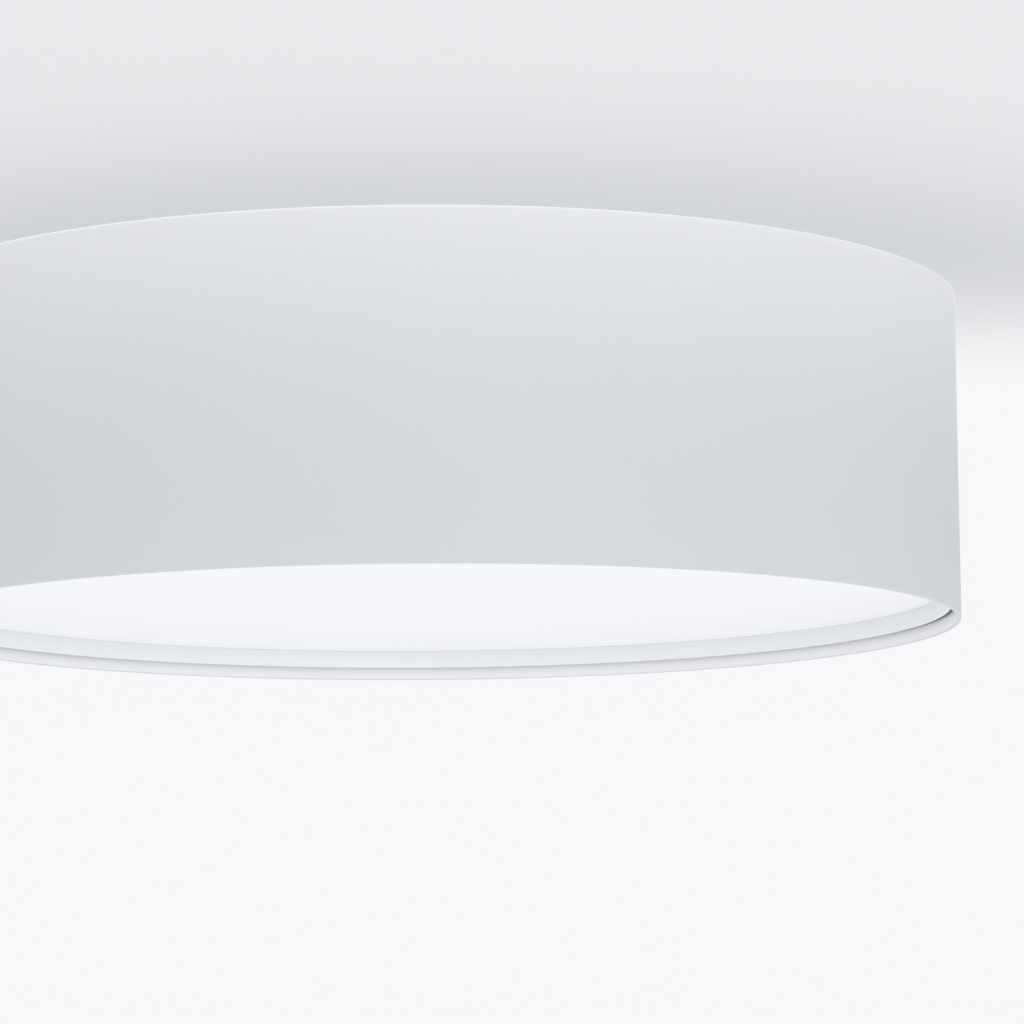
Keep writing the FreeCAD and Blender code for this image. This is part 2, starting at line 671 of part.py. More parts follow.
def tube(points, radius, sides=8):
    """Eight-sided lead along a route of straight runs and tangent arcs."""
    path = rounded_path(points)
    along = points[1] - points[0]
    first = along.cross(Vector(0, 0, 1)).normalize() * radius
    corners = [FreeCAD.Rotation(along, 360 / sides * i) * first + points[0] for i in range(sides)]
    section = Part.makePolygon(corners + corners[:1])
    solid = path.makePipeShell([section], True, False)
    expected = sides / 2 * math.sin(2 * math.pi / sides) * radius ** 2 * path.Length
    if abs(solid.Volume / expected - 1) > 0.01:
        raise ValueError("a lead's volume differs from its section times its length")
    return solid


def earth_lead():
    """Earth wire from the block's last way to a ring tag under the earth screw."""
    radius = value("earth_lead_radius")
    way = value(terminal_places()[-1])
    face = -value("block_reach + block_width / 2")
    level = -value(f"{BLOCK_UNDER} - block_well_depth")
    tag_level = -value(f"{WEB_UNDER} + earth_tag_sheet")
    screw = Vector(value(EARTH_X), -value(EARTH_Y), 0)
    rest = tag_level - radius
    end = Vector(screw.x, screw.y - value("earth_tag") - 0.4 * radius, rest)
    points = [
        Vector(way, face, level),
        Vector(way, face - 5 * radius, level),
        Vector((way + screw.x) / 2, face - 8 * radius, (level + rest) / 2),
        Vector(screw.x, end.y - 6 * radius, rest),
        end,
    ]
    tag_sheet = value("earth_tag_sheet")
    tag = Part.makeCylinder(value("earth_tag"), tag_sheet, Vector(screw.x, screw.y, tag_level))
    tail = Part.makeBox(2 * radius, value("earth_tag") + 1.6 * radius, tag_sheet,
                        Vector(screw.x - radius, screw.y - value("earth_tag") - 1.6 * radius, tag_level))
    hole = Part.makeCylinder(value(SCREW_HOLE), 3 * tag_sheet, Vector(screw.x, screw.y, tag_level - tag_sheet))
    made = doc.addObject("Part::Feature", "earth_lead")
    made.Label = "earth_lead"
    made.Shape = Part.Compound([tube(points, radius), tag.fuse(tail).removeSplitter().cut(hole)])
    return made


def holder_lead(k):
    """Sleeved pair from a holder's nipple to its way in the terminal block."""
    radius = value("holder_lead_radius")
    angle = math.radians(value(turned("bulb_angle", k)))
    outward = Vector(math.cos(angle), math.sin(angle), 0)
    drop = Vector(0, 0, -value("bulb_drop"))
    start = outward * value("holder_start - nipple_back") + drop
    # the first holder is straight across, so its lead takes the middle way
    way = [terminal_places()[1], terminal_places()[0], terminal_places()[2]][k]
    face = -value("block_reach - block_width / 2")
    level = -value(f"{BLOCK_UNDER} - block_well_depth")
    end = Vector(value(way), face, level)
    inner = start - outward * (7 * radius)
    near_block = end + Vector(0, 6 * radius, 0)
    middle = (inner + near_block) * 0.5 + Vector(0, 0, -2 * radius)
    points = [start, inner, middle, near_block, end]
    made = doc.addObject("Part::Feature", f"holder_lead_{k + 1}")
    made.Label = made.Name
    made.Shape = tube(points, radius)
    return made


# ---------------------------------------------------------------- lamp holders


def holder_bracket(k):
    """Bent steel bracket under the web, its upright carrying one lamp holder."""
    bracket = body(f"holder_bracket_{k + 1}")
    side = new_sketch(bracket, "side", "XZ_Plane")
    heel = "holder_start - bracket_foot"
    foot_under = f"{WEB_UNDER} + bracket_sheet"
    end = "bulb_drop + bracket_below"
    draw_loop(side, [
        (heel, minus(WEB_UNDER)),
        ("holder_start", minus(WEB_UNDER)),
        ("holder_start", minus(end)),
        (BRACKET_BACK, minus(end)),
        (BRACKET_BACK, minus(foot_under)),
        (heel, minus(foot_under)),
    ])
    pad(bracket, side, "bracket_width", middle=True)
    hole = new_sketch(bracket, "nipple", "YZ_Plane")
    draw_circle(hole, "0", "-bulb_drop", "nipple_radius + rivet_play")
    cut_through(bracket, hole)
    screws = new_sketch(bracket, "screws", "XY_Plane")
    for side in ("-", ""):
        draw_circle(screws, "bracket_screw_reach", f"{side}bracket_screw_spacing / 2", SCREW_HOLE)
    last = cut_through(bracket, screws)
    half = value("bracket_width") / 2
    low = -value(end)
    back = value(heel)

    def free_corner(edge):
        middle = edge.CenterOfMass
        at_side = near(abs(middle.y), half)
        return at_side and (near(middle.z, low) and near(edge.Length, value("bracket_sheet"))
                            or near(middle.x, back) and near(edge.Length, value("bracket_sheet")))

    def bend(edge):
        middle = edge.CenterOfMass
        return near(edge.Length, value("bracket_width")) and near(middle.x, value("holder_start")) \
            and near(middle.z, -value(WEB_UNDER))

    corners = round_edges(bracket, last, "bracket_corner", free_corner)
    round_edges(bracket, corners, "bracket_bend", bend)
    place(bracket, turn=turned("bulb_angle", k))
    return bracket


def bracket_screws():
    seat = f"{WEB_UNDER} + bracket_sheet"
    places = web_holes()[1:7]
    return group("bracket_screws", [
        web_screw(f"bracket_screw_{i + 1}", seat, x, y) for i, (x, y, radius) in enumerate(places)
    ])


def radial(name, corners, k):
    """Round piece on the axis of one bulb: corners are distance outwards and radius."""
    made = turned_body(name, corners, "H_Axis")
    place(made, z="-bulb_drop", turn=turned("bulb_angle", k))
    return made


def holder_body(k):
    """Moulded lamp holder: stepped back, contact chamber and a bore for the shell."""
    mouth = "holder_start + holder_length"
    step = "holder_start + holder_step"
    return radial(f"holder_body_{k + 1}", [
        ("holder_start", "nipple_radius + rivet_play"),
        ("holder_start", "holder_back_radius"),
        ("holder_start + holder_slope", "holder_radius - holder_shoulder"),
        (step, "holder_radius - holder_shoulder"),
        (step, "holder_radius"),
        (mouth, "holder_radius"),
        (mouth, SHELL_BORE),
        (step, SHELL_BORE),
        (step, "holder_chamber_radius"),
        ("holder_start + holder_back_wall", "holder_chamber_radius"),
        ("holder_start + holder_back_wall", "nipple_radius + rivet_play"),
    ], k)


def holder_shell(k):
    """Brass shell that the bulb's cap screws into, lipped at its inner end."""
    step = "holder_start + holder_step"
    mouth = "holder_start + holder_length"
    inside = "bulb_cap_radius + shell_gap"
    return radial(f"holder_shell_{k + 1}", [
        (step, "shell_lip_radius"),
        (step, SHELL_OUTSIDE),
        (f"{mouth} - 1", SHELL_OUTSIDE),
        (f"{mouth} - 1", inside),
        (f"{step} + shell_sheet", inside),
        (f"{step} + shell_sheet", "shell_lip_radius"),
    ], k)


def holder_contact(k):
    """Bent brass strip that bears on the bulb's centre contact."""
    contact = body(f"holder_contact_{k + 1}")
    side = new_sketch(contact, "side", "XZ_Plane")
    seat = "holder_start + holder_back_wall"
    face = "bulb_start - seat_gap"
    draw_loop(side, [
        (seat, "contact_strip_half"),
        (seat, "-contact_strip_half"),
        (f"{seat} + 1.5 * contact_sheet", "-contact_strip_half"),
        (face, "-contact_face_half"),
        (face, "contact_face_half"),
        (f"{face} - contact_sheet", "contact_face_half"),
        (f"{face} - contact_sheet", "contact_sheet / 2 - contact_face_half"),
        (f"{seat} + contact_sheet", "contact_sheet * 2 - contact_strip_half"),
        (f"{seat} + contact_sheet", "contact_strip_half"),
    ])
    pad(contact, side, "contact_strip_width", middle=True)
    place(contact, z="-bulb_drop", turn=turned("bulb_angle", k))
    return contact


def holder_nipples():
    """Threaded tubes that clamp the holders to their brackets and carry the leads."""
    return group("holder_nipples", [
        radial(f"holder_nipple_{k + 1}", [
            ("holder_start - nipple_back", "nipple_bore"),
            ("holder_start - nipple_back", "nipple_radius"),
            ("holder_start + nipple_front", "nipple_radius"),
            ("holder_start + nipple_front", "nipple_bore"),
        ], k) for k in range(3)
    ])


def lock_nuts():
    """Hexagon nuts on the nipples, against the back of the brackets."""
    nuts = []
    for k in range(3):
        nut = body(f"lock_nut_{k + 1}")
        face = new_sketch(nut, "face", "YZ_Plane", f"{BRACKET_BACK} - nut_height")
        corners = [polar("nut_radius", str(60 * i)) for i in range(6)]
        draw_loop(face, corners)
        draw_circle(face, "0", "0", "nipple_radius + rivet_play")
        pad(nut, face, "nut_height")
        place(nut, z="-bulb_drop", turn=turned("bulb_angle", k))
        nuts.append(nut)
    return group("lock_nuts", nuts)


# ---------------------------------------------------------------- bulbs

DOME_BANDS = 6

def bulb_contact(k):
    return radial(f"bulb_contact_{k + 1}", [
        ("bulb_start", "0"),
        ("bulb_start", "bulb_contact_radius * 0.7"),
        ("bulb_start + bulb_contact_height / 2", "bulb_contact_radius"),
        ("bulb_start + bulb_contact_height", "bulb_contact_radius"),
        ("bulb_start + bulb_contact_height", "0"),
    ], k)


def bulb_cap(k):
    """Screw cap with its insulating cone."""
    root = "bulb_start + bulb_contact_height"
    cone_end = f"{root} + bulb_cone_height"
    end = "bulb_start + bulb_cap_length"
    return radial(f"bulb_cap_{k + 1}", [
        (root, "0"),
        (root, "bulb_contact_radius"),
        (cone_end, "bulb_cap_radius - 1"),
        (f"{cone_end} + 1", "bulb_cap_radius"),
        (end, "bulb_cap_radius"),
        (end, "0"),
    ], k)


def bulb_housing(k):
    """Plastic body that flares from the cap to the dome."""
    start = "bulb_start + bulb_cap_length"
    end = "bulb_start + bulb_body_length"
    rim = "sqrt(bulb_dome_radius ^ 2 - bulb_dome_offset ^ 2)"
    flare = f"({rim} - bulb_collar_radius)"
    length = "(bulb_body_length - bulb_cap_length)"
    return radial(f"bulb_housing_{k + 1}", [
        (start, "0"),
        (start, "bulb_collar_radius"),
        (f"{start} + 0.15 * {length}", f"bulb_collar_radius + 0.07 * {flare}"),
        (f"{start} + 0.55 * {length}", f"bulb_collar_radius + 0.52 * {flare}"),
        (end, f"{rim}"),
        (end, "0"),
    ], k)


def bulb_globe(k):
    """Opal dome in bands on a sphere, cut flat where it meets the body."""
    middle = "bulb_start + bulb_body_length + bulb_dome_offset"
    cut = "asin(bulb_dome_offset / bulb_dome_radius)"
    corners = [("bulb_start + bulb_body_length", "0")]
    for i in range(DOME_BANDS):
        angle = f"({i / DOME_BANDS} * (90 deg + {cut}) - {cut})"
        corners.append((f"{middle} + bulb_dome_radius * sin({angle})",
                        f"bulb_dome_radius * cos({angle})"))
    corners.append((f"{middle} + bulb_dome_radius", "0"))
    return radial(f"bulb_globe_{k + 1}", corners, k)


# ---------------------------------------------------------------- the shade


def drum_shade():
    """Rolled steel drum with a folded hem round its foot."""
    drum = body("drum_shade")
    profile = new_sketch(drum, "profile", "XZ_Plane")
    hem_top = f"{SHADE_FOOT} - hem_height"
    draw_loop(profile, [
        ("drum_radius", minus(SHADE_TOP)),
        ("drum_radius", minus(f"{SHADE_FOOT} - hem_round")),
        ("drum_radius - hem_round", minus(SHADE_FOOT)),
        (f"{HEM_INSIDE} + hem_round", minus(SHADE_FOOT)),
        (HEM_INSIDE, minus(f"{SHADE_FOOT} - hem_round")),
        (HEM_INSIDE, minus(hem_top)),
        (DRUM_INSIDE, minus(hem_top)),
        (DRUM_INSIDE, minus(SHADE_TOP)),
    ])
    revolve(drum, profile)
    return drum


def shade_ring():
    """Angle ring welded in the drum's top, with three keyhole slots for the studs."""
    ring = body("shade_ring")
    profile = new_sketch(ring, "profile", "XZ_Plane")
    inside = f"{DRUM_INSIDE} - ring_width"
    skirt_inside = f"{DRUM_INSIDE} - ring_sheet"
    skirt_foot = f"{RING_UNDER} + ring_skirt"
    draw_loop(profile, [
        (inside, "-ring_drop"),
        (DRUM_INSIDE, "-ring_drop"),
        (DRUM_INSIDE, minus(skirt_foot)),
        (skirt_inside, minus(skirt_foot)),
        (skirt_inside, minus(RING_UNDER)),
        (inside, minus(RING_UNDER)),
    ])
    revolve(ring, profile)
    half = "(stud_neck + slot_play)"
    slot = new_sketch(ring, "slot", "XZ_Plane")
    draw_loop(slot, box_corners(f"{STUD_CIRCLE} - {half}", f"{STUD_CIRCLE} + {half}",
                                minus(f"{RING_UNDER} + 1"), minus("ring_drop - 1")))
    groove = revolve(ring, slot, kind="Groove", angle="twist_angle")
    round_end = new_sketch(ring, "round_end", "XY_Plane")
    draw_circle(round_end, STUD_CIRCLE, "0", half)
    end_cut = cut_through(ring, round_end)
    keyhole = new_sketch(ring, "keyhole", "XY_Plane")
    draw_circle(keyhole, *polar(STUD_CIRCLE, "twist_angle"), "stud_head + keyhole_play")
    key_cut = cut_through(ring, keyhole)
    repeat_round(ring, [groove, end_cut, key_cut])
    place(ring, turn="stud_angle")
    return ring


def clip_bracket(k):
    """Angle bracket on the drum's wall, curved to it, with a hole for the snap stud."""
    bracket = body(f"clip_bracket_{k + 1}")
    profile = new_sketch(bracket, "profile", "XZ_Plane")
    back = f"{DRUM_INSIDE} - clip_bracket_sheet"
    reach = f"{DRUM_INSIDE} - clip_bracket_reach"
    top = f"{CLIP_UNDER} - clip_bracket_height"
    draw_loop(profile, [
        (reach, minus(CLIP_UNDER)),
        (DRUM_INSIDE, minus(CLIP_UNDER)),
        (DRUM_INSIDE, minus(top)),
        (back, minus(top)),
        (back, minus(CLIP_SEAT)),
        (reach, minus(CLIP_SEAT)),
    ])
    revolve(bracket, profile, angle="clip_bracket_turn", middle=True)
    holes = new_sketch(bracket, "holes", "XY_Plane")
    draw_circle(holes, CLIP_CIRCLE, "0", "snap_hole")
    for side in ("-", ""):
        draw_circle(holes, CLIP_CIRCLE, f"{side}clip_rivet_spacing / 2", "clip_rivet + rivet_play")
    cut_through(bracket, holes)
    place(bracket, turn=turned("clip_angle", k))
    return bracket


def spring_clip(k):
    """Leaf spring: a plate with two tongues that close round the snap stud's neck."""
    clip = body(f"spring_clip_{k + 1}")
    plate = new_sketch(clip, "plate", "XY_Plane", minus(CLIP_SEAT))
    half_width = "clip_width / 2"
    window = "(tongue_width / 2 + 0.2)"
    draw_loop(plate, box_corners(f"{CLIP_CIRCLE} - {half_width}", f"{CLIP_CIRCLE} + {half_width}",
                                 "-clip_length / 2", "clip_length / 2"))
    draw_loop(plate, box_corners(f"{CLIP_CIRCLE} - {window}", f"{CLIP_CIRCLE} + {window}",
                                 "-tongue_root", "tongue_root"))
    for side in ("-", ""):
        draw_circle(plate, CLIP_CIRCLE, f"{side}clip_rivet_spacing / 2", "clip_rivet + rivet_play")
    pad(clip, plate, "clip_sheet")
    flare = f"{KNEE} + tongue_flare"
    flare_top = f"{KNEE_LEVEL} - tongue_flare_rise"
    for side in ("", "-"):
        tongue = new_sketch(clip, f"tongue{'_b' if side else '_a'}", "YZ_Plane", CLIP_CIRCLE)
        draw_loop(tongue, [(f"{side}({y})", z) for y, z in (
            ("tongue_root + 1", minus(CLIP_SEAT)),
            ("tongue_root + 1", minus(CLIP_TOP)),
            ("tongue_root", minus(CLIP_TOP)),
            (f"{KNEE} + 1.2 * clip_sheet", minus(KNEE_LEVEL)),
            (f"{flare} + clip_sheet", minus(f"{flare_top} + clip_sheet / 2")),
            (flare, minus(flare_top)),
            (KNEE, minus(KNEE_LEVEL)),
            ("tongue_root - clip_sheet", minus(CLIP_SEAT)),
        )])
        pad(clip, tongue, "tongue_width", middle=True)
    place(clip, turn=turned("clip_angle", k))
    return clip


def clip_rivets():
    """Two rivets through each clip bracket and its leaf spring."""
    rivets = []
    upper = f"{CLIP_TOP} - clip_rivet_head_height"
    for k in range(3):
        angle = turned("clip_angle", k)
        for side in ("+", "-"):
            rivet = body(f"clip_rivet_{len(rivets) + 1}")
            prism(rivet, "upper", "clip_rivet_head", 8, upper, "clip_rivet_head_height")
            prism(rivet, "shank", "clip_rivet", 8, CLIP_TOP, f"{CLIP_UNDER} - ({CLIP_TOP})")
            prism(rivet, "lower", "clip_rivet_head", 8, CLIP_UNDER, "clip_rivet_head_height")
            along = polar(CLIP_CIRCLE, angle)
            other = "-" if side == "+" else "+"
            place(rivet, f"{along[0]} {side} clip_rivet_spacing / 2 * sin({angle})",
                  f"{along[1]} {other} clip_rivet_spacing / 2 * cos({angle})")
            rivets.append(rivet)
    return group("clip_rivets", rivets)


# ---------------------------------------------------------------- the diffuser


def diffuser_frame():
    """Moulded ring with a ledge for the opal sheet and three ears for the snap studs."""
    frame = body("diffuser_frame")
    profile = new_sketch(frame, "profile", "XZ_Plane")
    step = f"{FRAME_FOOT} - frame_step_lift"
    draw_loop(profile, [
        (FRAME_INSIDE, minus(FRAME_FOOT)),
        (FRAME_LOWER, minus(FRAME_FOOT)),
        (FRAME_LOWER, minus(step)),
        (FRAME_OUTSIDE, minus(step)),
        (FRAME_OUTSIDE, minus(FRAME_TOP)),
        (FRAME_UPPER, minus(FRAME_TOP)),
        (FRAME_UPPER, minus(LEDGE)),
        (FRAME_INSIDE, minus(LEDGE)),
    ])
    revolve(frame, profile)
    ear = new_sketch(frame, "ear", "XY_Plane", minus(FRAME_TOP))
    inner = f"{FRAME_UPPER} - ear_length"
    outer = f"{FRAME_UPPER} + frame_wall / 2"
    draw_loop(ear, [
        (f"{inner} + ear_width / 4", "-ear_width / 2"),
        (outer, "-ear_width / 2"),
        (outer, "ear_width / 2"),
        (f"{inner} + ear_width / 4", "ear_width / 2"),
        (inner, "ear_width / 4"),
        (inner, "-ear_width / 4"),
    ])
    tab = pad(frame, ear, "ear_thickness", backwards=True)
    hole = new_sketch(frame, "hole", "XY_Plane")
    draw_circle(hole, CLIP_CIRCLE, "0", "snap_neck + rivet_play")
    repeat_round(frame, [tab, cut_through(frame, hole)])
    place(frame, turn="clip_angle")
    return frame


def opal_diffuser():
    """Flat disc of opal acrylic on the frame's ledge, held down by the ears."""
    disc = body("opal_diffuser")
    outline = new_sketch(disc, "outline", "XY_Plane", minus(LEDGE))
    draw_circle(outline, "0", "0", f"{FRAME_UPPER} - sheet_play")
    pad(disc, outline, "sheet_thickness")
    return disc


def snap_stud(k):
    """Bullet-headed stud riveted into a frame ear, gripped by the leaf spring."""
    ear_under = f"{FRAME_TOP} + ear_thickness"
    flange_top = f"{FRAME_TOP} - snap_flange_height"
    shoulder = f"{KNEE_LEVEL} - seat_gap"
    tip = f"{shoulder} - snap_head_height"
    stud = turned_body(f"snap_stud_{k + 1}", [
        ("0", minus(ear_under)),
        ("snap_neck", minus(ear_under)),
        ("snap_neck", minus(FRAME_TOP)),
        ("snap_flange", minus(FRAME_TOP)),
        ("snap_flange", minus(flange_top)),
        ("snap_neck", minus(flange_top)),
        ("snap_neck", minus(shoulder)),
        ("snap_head", minus(f"{shoulder} - (snap_head - snap_neck)")),
        ("0", minus(tip)),
    ])
    x, y = polar(CLIP_CIRCLE, turned("clip_angle", k))
    place(stud, x, y)
    return stud


# ---------------------------------------------------------------- building and writing

SINGLE_PIECES = [
    ceiling_pan, cable_grommet, terminal_block, terminal_screws, block_screws, cable_clamp,
    clamp_screws, earth_screw, earth_lead, bracket_screws, holder_nipples, lock_nuts,
    drum_shade, shade_ring, clip_rivets, diffuser_frame, opal_diffuser,
]
PIECES_IN_THREES = [
    shade_stud, holder_bracket, holder_body, holder_shell, holder_contact, holder_lead,
    bulb_contact, bulb_cap, bulb_housing, bulb_globe, clip_bracket, spring_clip, snap_stud,
]

subparts = [make() for make in SINGLE_PIECES]
subparts += [make(k) for make in PIECES_IN_THREES for k in range(3)]
doc.recompute()

for thing in doc.Objects:
    if "Invalid" in thing.State or "Error" in thing.State:
        raise RuntimeError(f"{thing.Label} did not compute")
for part in subparts:
    if part.Shape.isNull() or not part.Shape.isValid() or not part.Shape.Solids:
        raise RuntimeError(f"{part.Label} has no valid solid")
for part in subparts:
    part.Shape.exportStep(f"parts/{part.Label}.step")
print(len(subparts), "sub-parts")
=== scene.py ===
"""Flush mount ceiling light, dressed as it is put together: the pan on the ceiling first,
then the wiring, the lamp holders, the bulbs, the drum shade and the opal diffuser.
Lengths are in metres, +Z points up into the ceiling, and z = 0 is the ceiling."""
import math

import bpy
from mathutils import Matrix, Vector


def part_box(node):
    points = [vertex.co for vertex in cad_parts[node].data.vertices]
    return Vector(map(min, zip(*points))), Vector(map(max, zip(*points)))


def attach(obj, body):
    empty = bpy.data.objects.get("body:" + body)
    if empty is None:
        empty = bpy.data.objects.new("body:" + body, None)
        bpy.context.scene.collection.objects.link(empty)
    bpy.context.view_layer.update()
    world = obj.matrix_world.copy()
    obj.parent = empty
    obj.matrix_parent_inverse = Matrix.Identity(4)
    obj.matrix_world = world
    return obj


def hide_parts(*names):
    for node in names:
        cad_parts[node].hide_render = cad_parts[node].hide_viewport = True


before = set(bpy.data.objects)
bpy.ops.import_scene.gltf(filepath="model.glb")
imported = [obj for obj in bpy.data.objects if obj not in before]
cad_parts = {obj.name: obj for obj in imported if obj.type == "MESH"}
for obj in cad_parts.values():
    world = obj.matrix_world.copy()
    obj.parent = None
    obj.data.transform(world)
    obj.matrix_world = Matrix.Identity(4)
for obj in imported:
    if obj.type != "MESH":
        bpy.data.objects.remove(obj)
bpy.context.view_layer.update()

# ------------------------------------------------------------------ view, ceiling and light
# The light hangs on a plain white ceiling and is seen from just below and in front, through a
# long lens. The ceiling is open above the light and clear from behind, so that the pan can be
# seen from above. It comes just under the drum's rim and fades into the white of the room.

lens_length = 154.3
sensor_width = 36.0
camera_place = (0.0420, -2.0362, -0.3723)
camera_pitch = math.radians(7.688)
camera_roll = math.radians(-0.466)
ceiling_hole = 0.2502
ceiling_rings = (0.5, 1.6)
ceiling_level = -0.0023
ceiling_white = (0.83, 0.835, 0.84)
# The ceiling's paint darkens towards the drum: a painted shadow of the drum on the ceiling.
ceiling_painted_shadow = (0.73, 0.74, 0.75)
painted_shadow_fade = (0.26, 0.50)
room_white = (0.935, 0.94, 0.955)
behind_fade = (-0.16, 0.24)
around_fade = (0.75, 1.30)

camera_data = bpy.data.cameras.new("camera")
camera_data.lens = lens_length
camera_data.sensor_width = sensor_width
camera_data.clip_end = 60.0
camera = bpy.data.objects.new("camera", camera_data)
camera.location = camera_place
camera.rotation_euler = (math.pi / 2 + camera_pitch, 0, 0)
bpy.context.scene.collection.objects.link(camera)
camera.rotation_euler.rotate_axis("Z", camera_roll)
bpy.context.scene.camera = camera
bpy.context.scene.view_settings.view_transform = "Standard"


def feed(tree, socket, given):
    """Give an input a number, a colour or another node's output."""
    if isinstance(given, bpy.types.NodeSocket):
        tree.links.new(given, socket)
    elif socket.type == "RGBA":
        socket.default_value = (*given, 1)
    else:
        socket.default_value = given


def add_node(tree, kind, inputs=None, **settings):
    """New node with its settings, and its inputs fed by name or number."""
    node = tree.nodes.new(kind)
    for key, setting in settings.items():
        setattr(node, key, setting)
    for key, given in (inputs or {}).items():
        feed(tree, node.inputs[key], given)
    return node


def arithmetic(tree, operation, *values):
    """Output of a math node."""
    return add_node(tree, "ShaderNodeMath", dict(enumerate(values)), operation=operation).outputs[0]


def ramp(tree, source, low, high):
    """Smooth rise from 0 to 1 between two values of an output."""
    inputs = {"Value": source, "From Min": low, "From Max": high}
    node = add_node(tree, "ShaderNodeMapRange", inputs, interpolation_type="SMOOTHSTEP", clamp=True)
    return node.outputs["Result"]


def blended(tree, mask, low, high):
    """Colour that goes from one to the other with a mask; each is a colour or an output."""
    return add_node(tree, "ShaderNodeMix", {0: mask, 6: low, 7: high}, data_type="RGBA").outputs[2]


def object_place(tree):
    """Coordinates of the object itself."""
    return add_node(tree, "ShaderNodeTexCoord").outputs["Object"]


def axis(tree, place, name):
    """One coordinate of a place."""
    return add_node(tree, "ShaderNodeSeparateXYZ", {0: place}).outputs[name]


def reach(tree, place):
    """Distance of a place from the upright axis."""
    inputs = {0: place, 1: (1, 1, 0)}
    level = add_node(tree, "ShaderNodeVectorMath", inputs, operation="MULTIPLY").outputs[0]
    return add_node(tree, "ShaderNodeVectorMath", {0: level}, operation="LENGTH").outputs["Value"]


def background_rays(tree):
    """1 for the rays that look straight at the background or see it in metal or glass."""
    rays = add_node(tree, "ShaderNodeLightPath").outputs
    seen = arithmetic(tree, "MAXIMUM", rays["Is Camera Ray"], rays["Is Glossy Ray"])
    return arithmetic(tree, "MAXIMUM", seen, rays["Is Transmission Ray"])


def new_finish(name):
    finish = bpy.data.materials.new(name)
    finish.use_nodes = True
    return finish, finish.node_tree, finish.node_tree.nodes["Principled BSDF"]


def ceiling_finish():
    """Matt ceiling paint with a painted shadow round the drum, that fades to white behind and
    around, and is clear from above.
    """
    finish, tree, paint = new_finish("ceiling_paint")
    place = object_place(tree)
    away = reach(tree, place)
    # Painted shadow: the paint is darker close to the drum.
    tone = blended(tree, ramp(tree, away, *painted_shadow_fade), ceiling_painted_shadow, ceiling_white)
    feed(tree, paint.inputs["Base Color"], tone)
    feed(tree, paint.inputs["Roughness"], 0.95)
    behind = ramp(tree, axis(tree, place, "Y"), *behind_fade)
    outer = arithmetic(tree, "MAXIMUM", behind, ramp(tree, away, *around_fade))
    fade = arithmetic(tree, "MULTIPLY", outer, background_rays(tree))
    white = add_node(tree, "ShaderNodeEmission", {"Color": room_white}).outputs[0]
    faded = add_node(tree, "ShaderNodeMixShader", {0: fade, 1: paint.outputs["BSDF"], 2: white})
    behind_face = add_node(tree, "ShaderNodeNewGeometry").outputs["Backfacing"]
    clear = add_node(tree, "ShaderNodeBsdfTransparent").outputs[0]
    inputs = {0: behind_face, 1: faded.outputs[0], 2: clear}
    result = add_node(tree, "ShaderNodeMixShader", inputs).outputs[0]
    feed(tree, tree.nodes["Material Output"].inputs["Surface"], result)
    return finish


def only(piece):
    """Select one piece alone and make it active."""
    bpy.ops.object.select_all(action="DESELECT")
    piece.select_set(True)
    bpy.context.view_layer.objects.active = piece
    return piece


def start_shaping(piece, mode="VERT"):
    """Edit mode on one piece, all of it selected by its points, edges or faces."""
    only(piece)
    bpy.ops.object.mode_set(mode="EDIT")
    bpy.ops.mesh.select_mode(type=mode)
    bpy.ops.mesh.select_all(action="SELECT")


def stop_shaping():
    bpy.ops.object.mode_set(mode="OBJECT")
    return bpy.context.object


def settle(name):
    """Name the active object and put its place and turn into its mesh."""
    piece = bpy.context.object
    piece.name = name
    bpy.ops.object.transform_apply(location=True, rotation=True, scale=True)
    return piece


def first_circle(name, radius, height, steps):
    """Circle about the upright axis, left selected in edit mode."""
    bpy.ops.object.select_all(action="DESELECT")
    bpy.ops.mesh.primitive_circle_add(vertices=steps, radius=radius, location=(0, 0, height))
    piece = settle(name)
    start_shaping(piece)
    return piece


def walk(profile):
    """Extrude the selected circle from one (radius, height) of a profile to the next."""
    for (radius, height), (next_radius, next_height) in zip(profile, profile[1:]):
        rise = (0, 0, next_height - height)
        bpy.ops.mesh.extrude_region_move(TRANSFORM_OT_translate={"value": rise})
        widen = next_radius / radius
        bpy.ops.transform.resize(value=(widen, widen, 1), center_override=(0, 0, 0))


ceiling = first_circle("ceiling", ceiling_hole, ceiling_level, 256)
walk([(radius, 0) for radius in (ceiling_hole, *ceiling_rings)])
bpy.ops.mesh.select_all(action="SELECT")
bpy.ops.mesh.normals_make_consistent(inside=False)
stop_shaping()
if ceiling.data.polygons[0].normal.z > 0:
    start_shaping(ceiling)
    bpy.ops.mesh.flip_normals()
    stop_shaping()
ceiling.data.materials.append(ceiling_finish())

world = bpy.data.worlds.new("room_light")
bpy.context.scene.world = world
world.use_nodes = True
feed(world.node_tree, world.node_tree.nodes["Background"].inputs["Color"], room_white)


def soft_lamp(name, place, aim, size, power):
    """Large square lamp that points at a place."""
    data = bpy.data.lights.new(name, "AREA")
    data.shape = "SQUARE"
    data.size = size
    data.energy = power
    lamp = bpy.data.objects.new(name, data)
    lamp.location = place
    lamp.rotation_mode = "QUATERNION"
    lamp.rotation_quaternion = (Vector(aim) - Vector(place)).to_track_quat("-Z", "Y")
    bpy.context.scene.collection.objects.link(lamp)


soft_lamp("front_lamp", place=(0.9, -2.6, -0.6), aim=(0, 0, -0.08), size=1.8, power=9.0)
soft_lamp("upper_lamp", place=(-0.8, -0.6, 1.8), aim=(0, 0, 0), size=1.2, power=8.0)

# ------------------------------------------------------------------ the ceiling pan
# A disc of 1 mm steel pressed in one stroke: a flat rim that lies on the ceiling, a sloped
# wall, a stiffening bead and three hollow bosses for the ceiling screws, powder coated white.


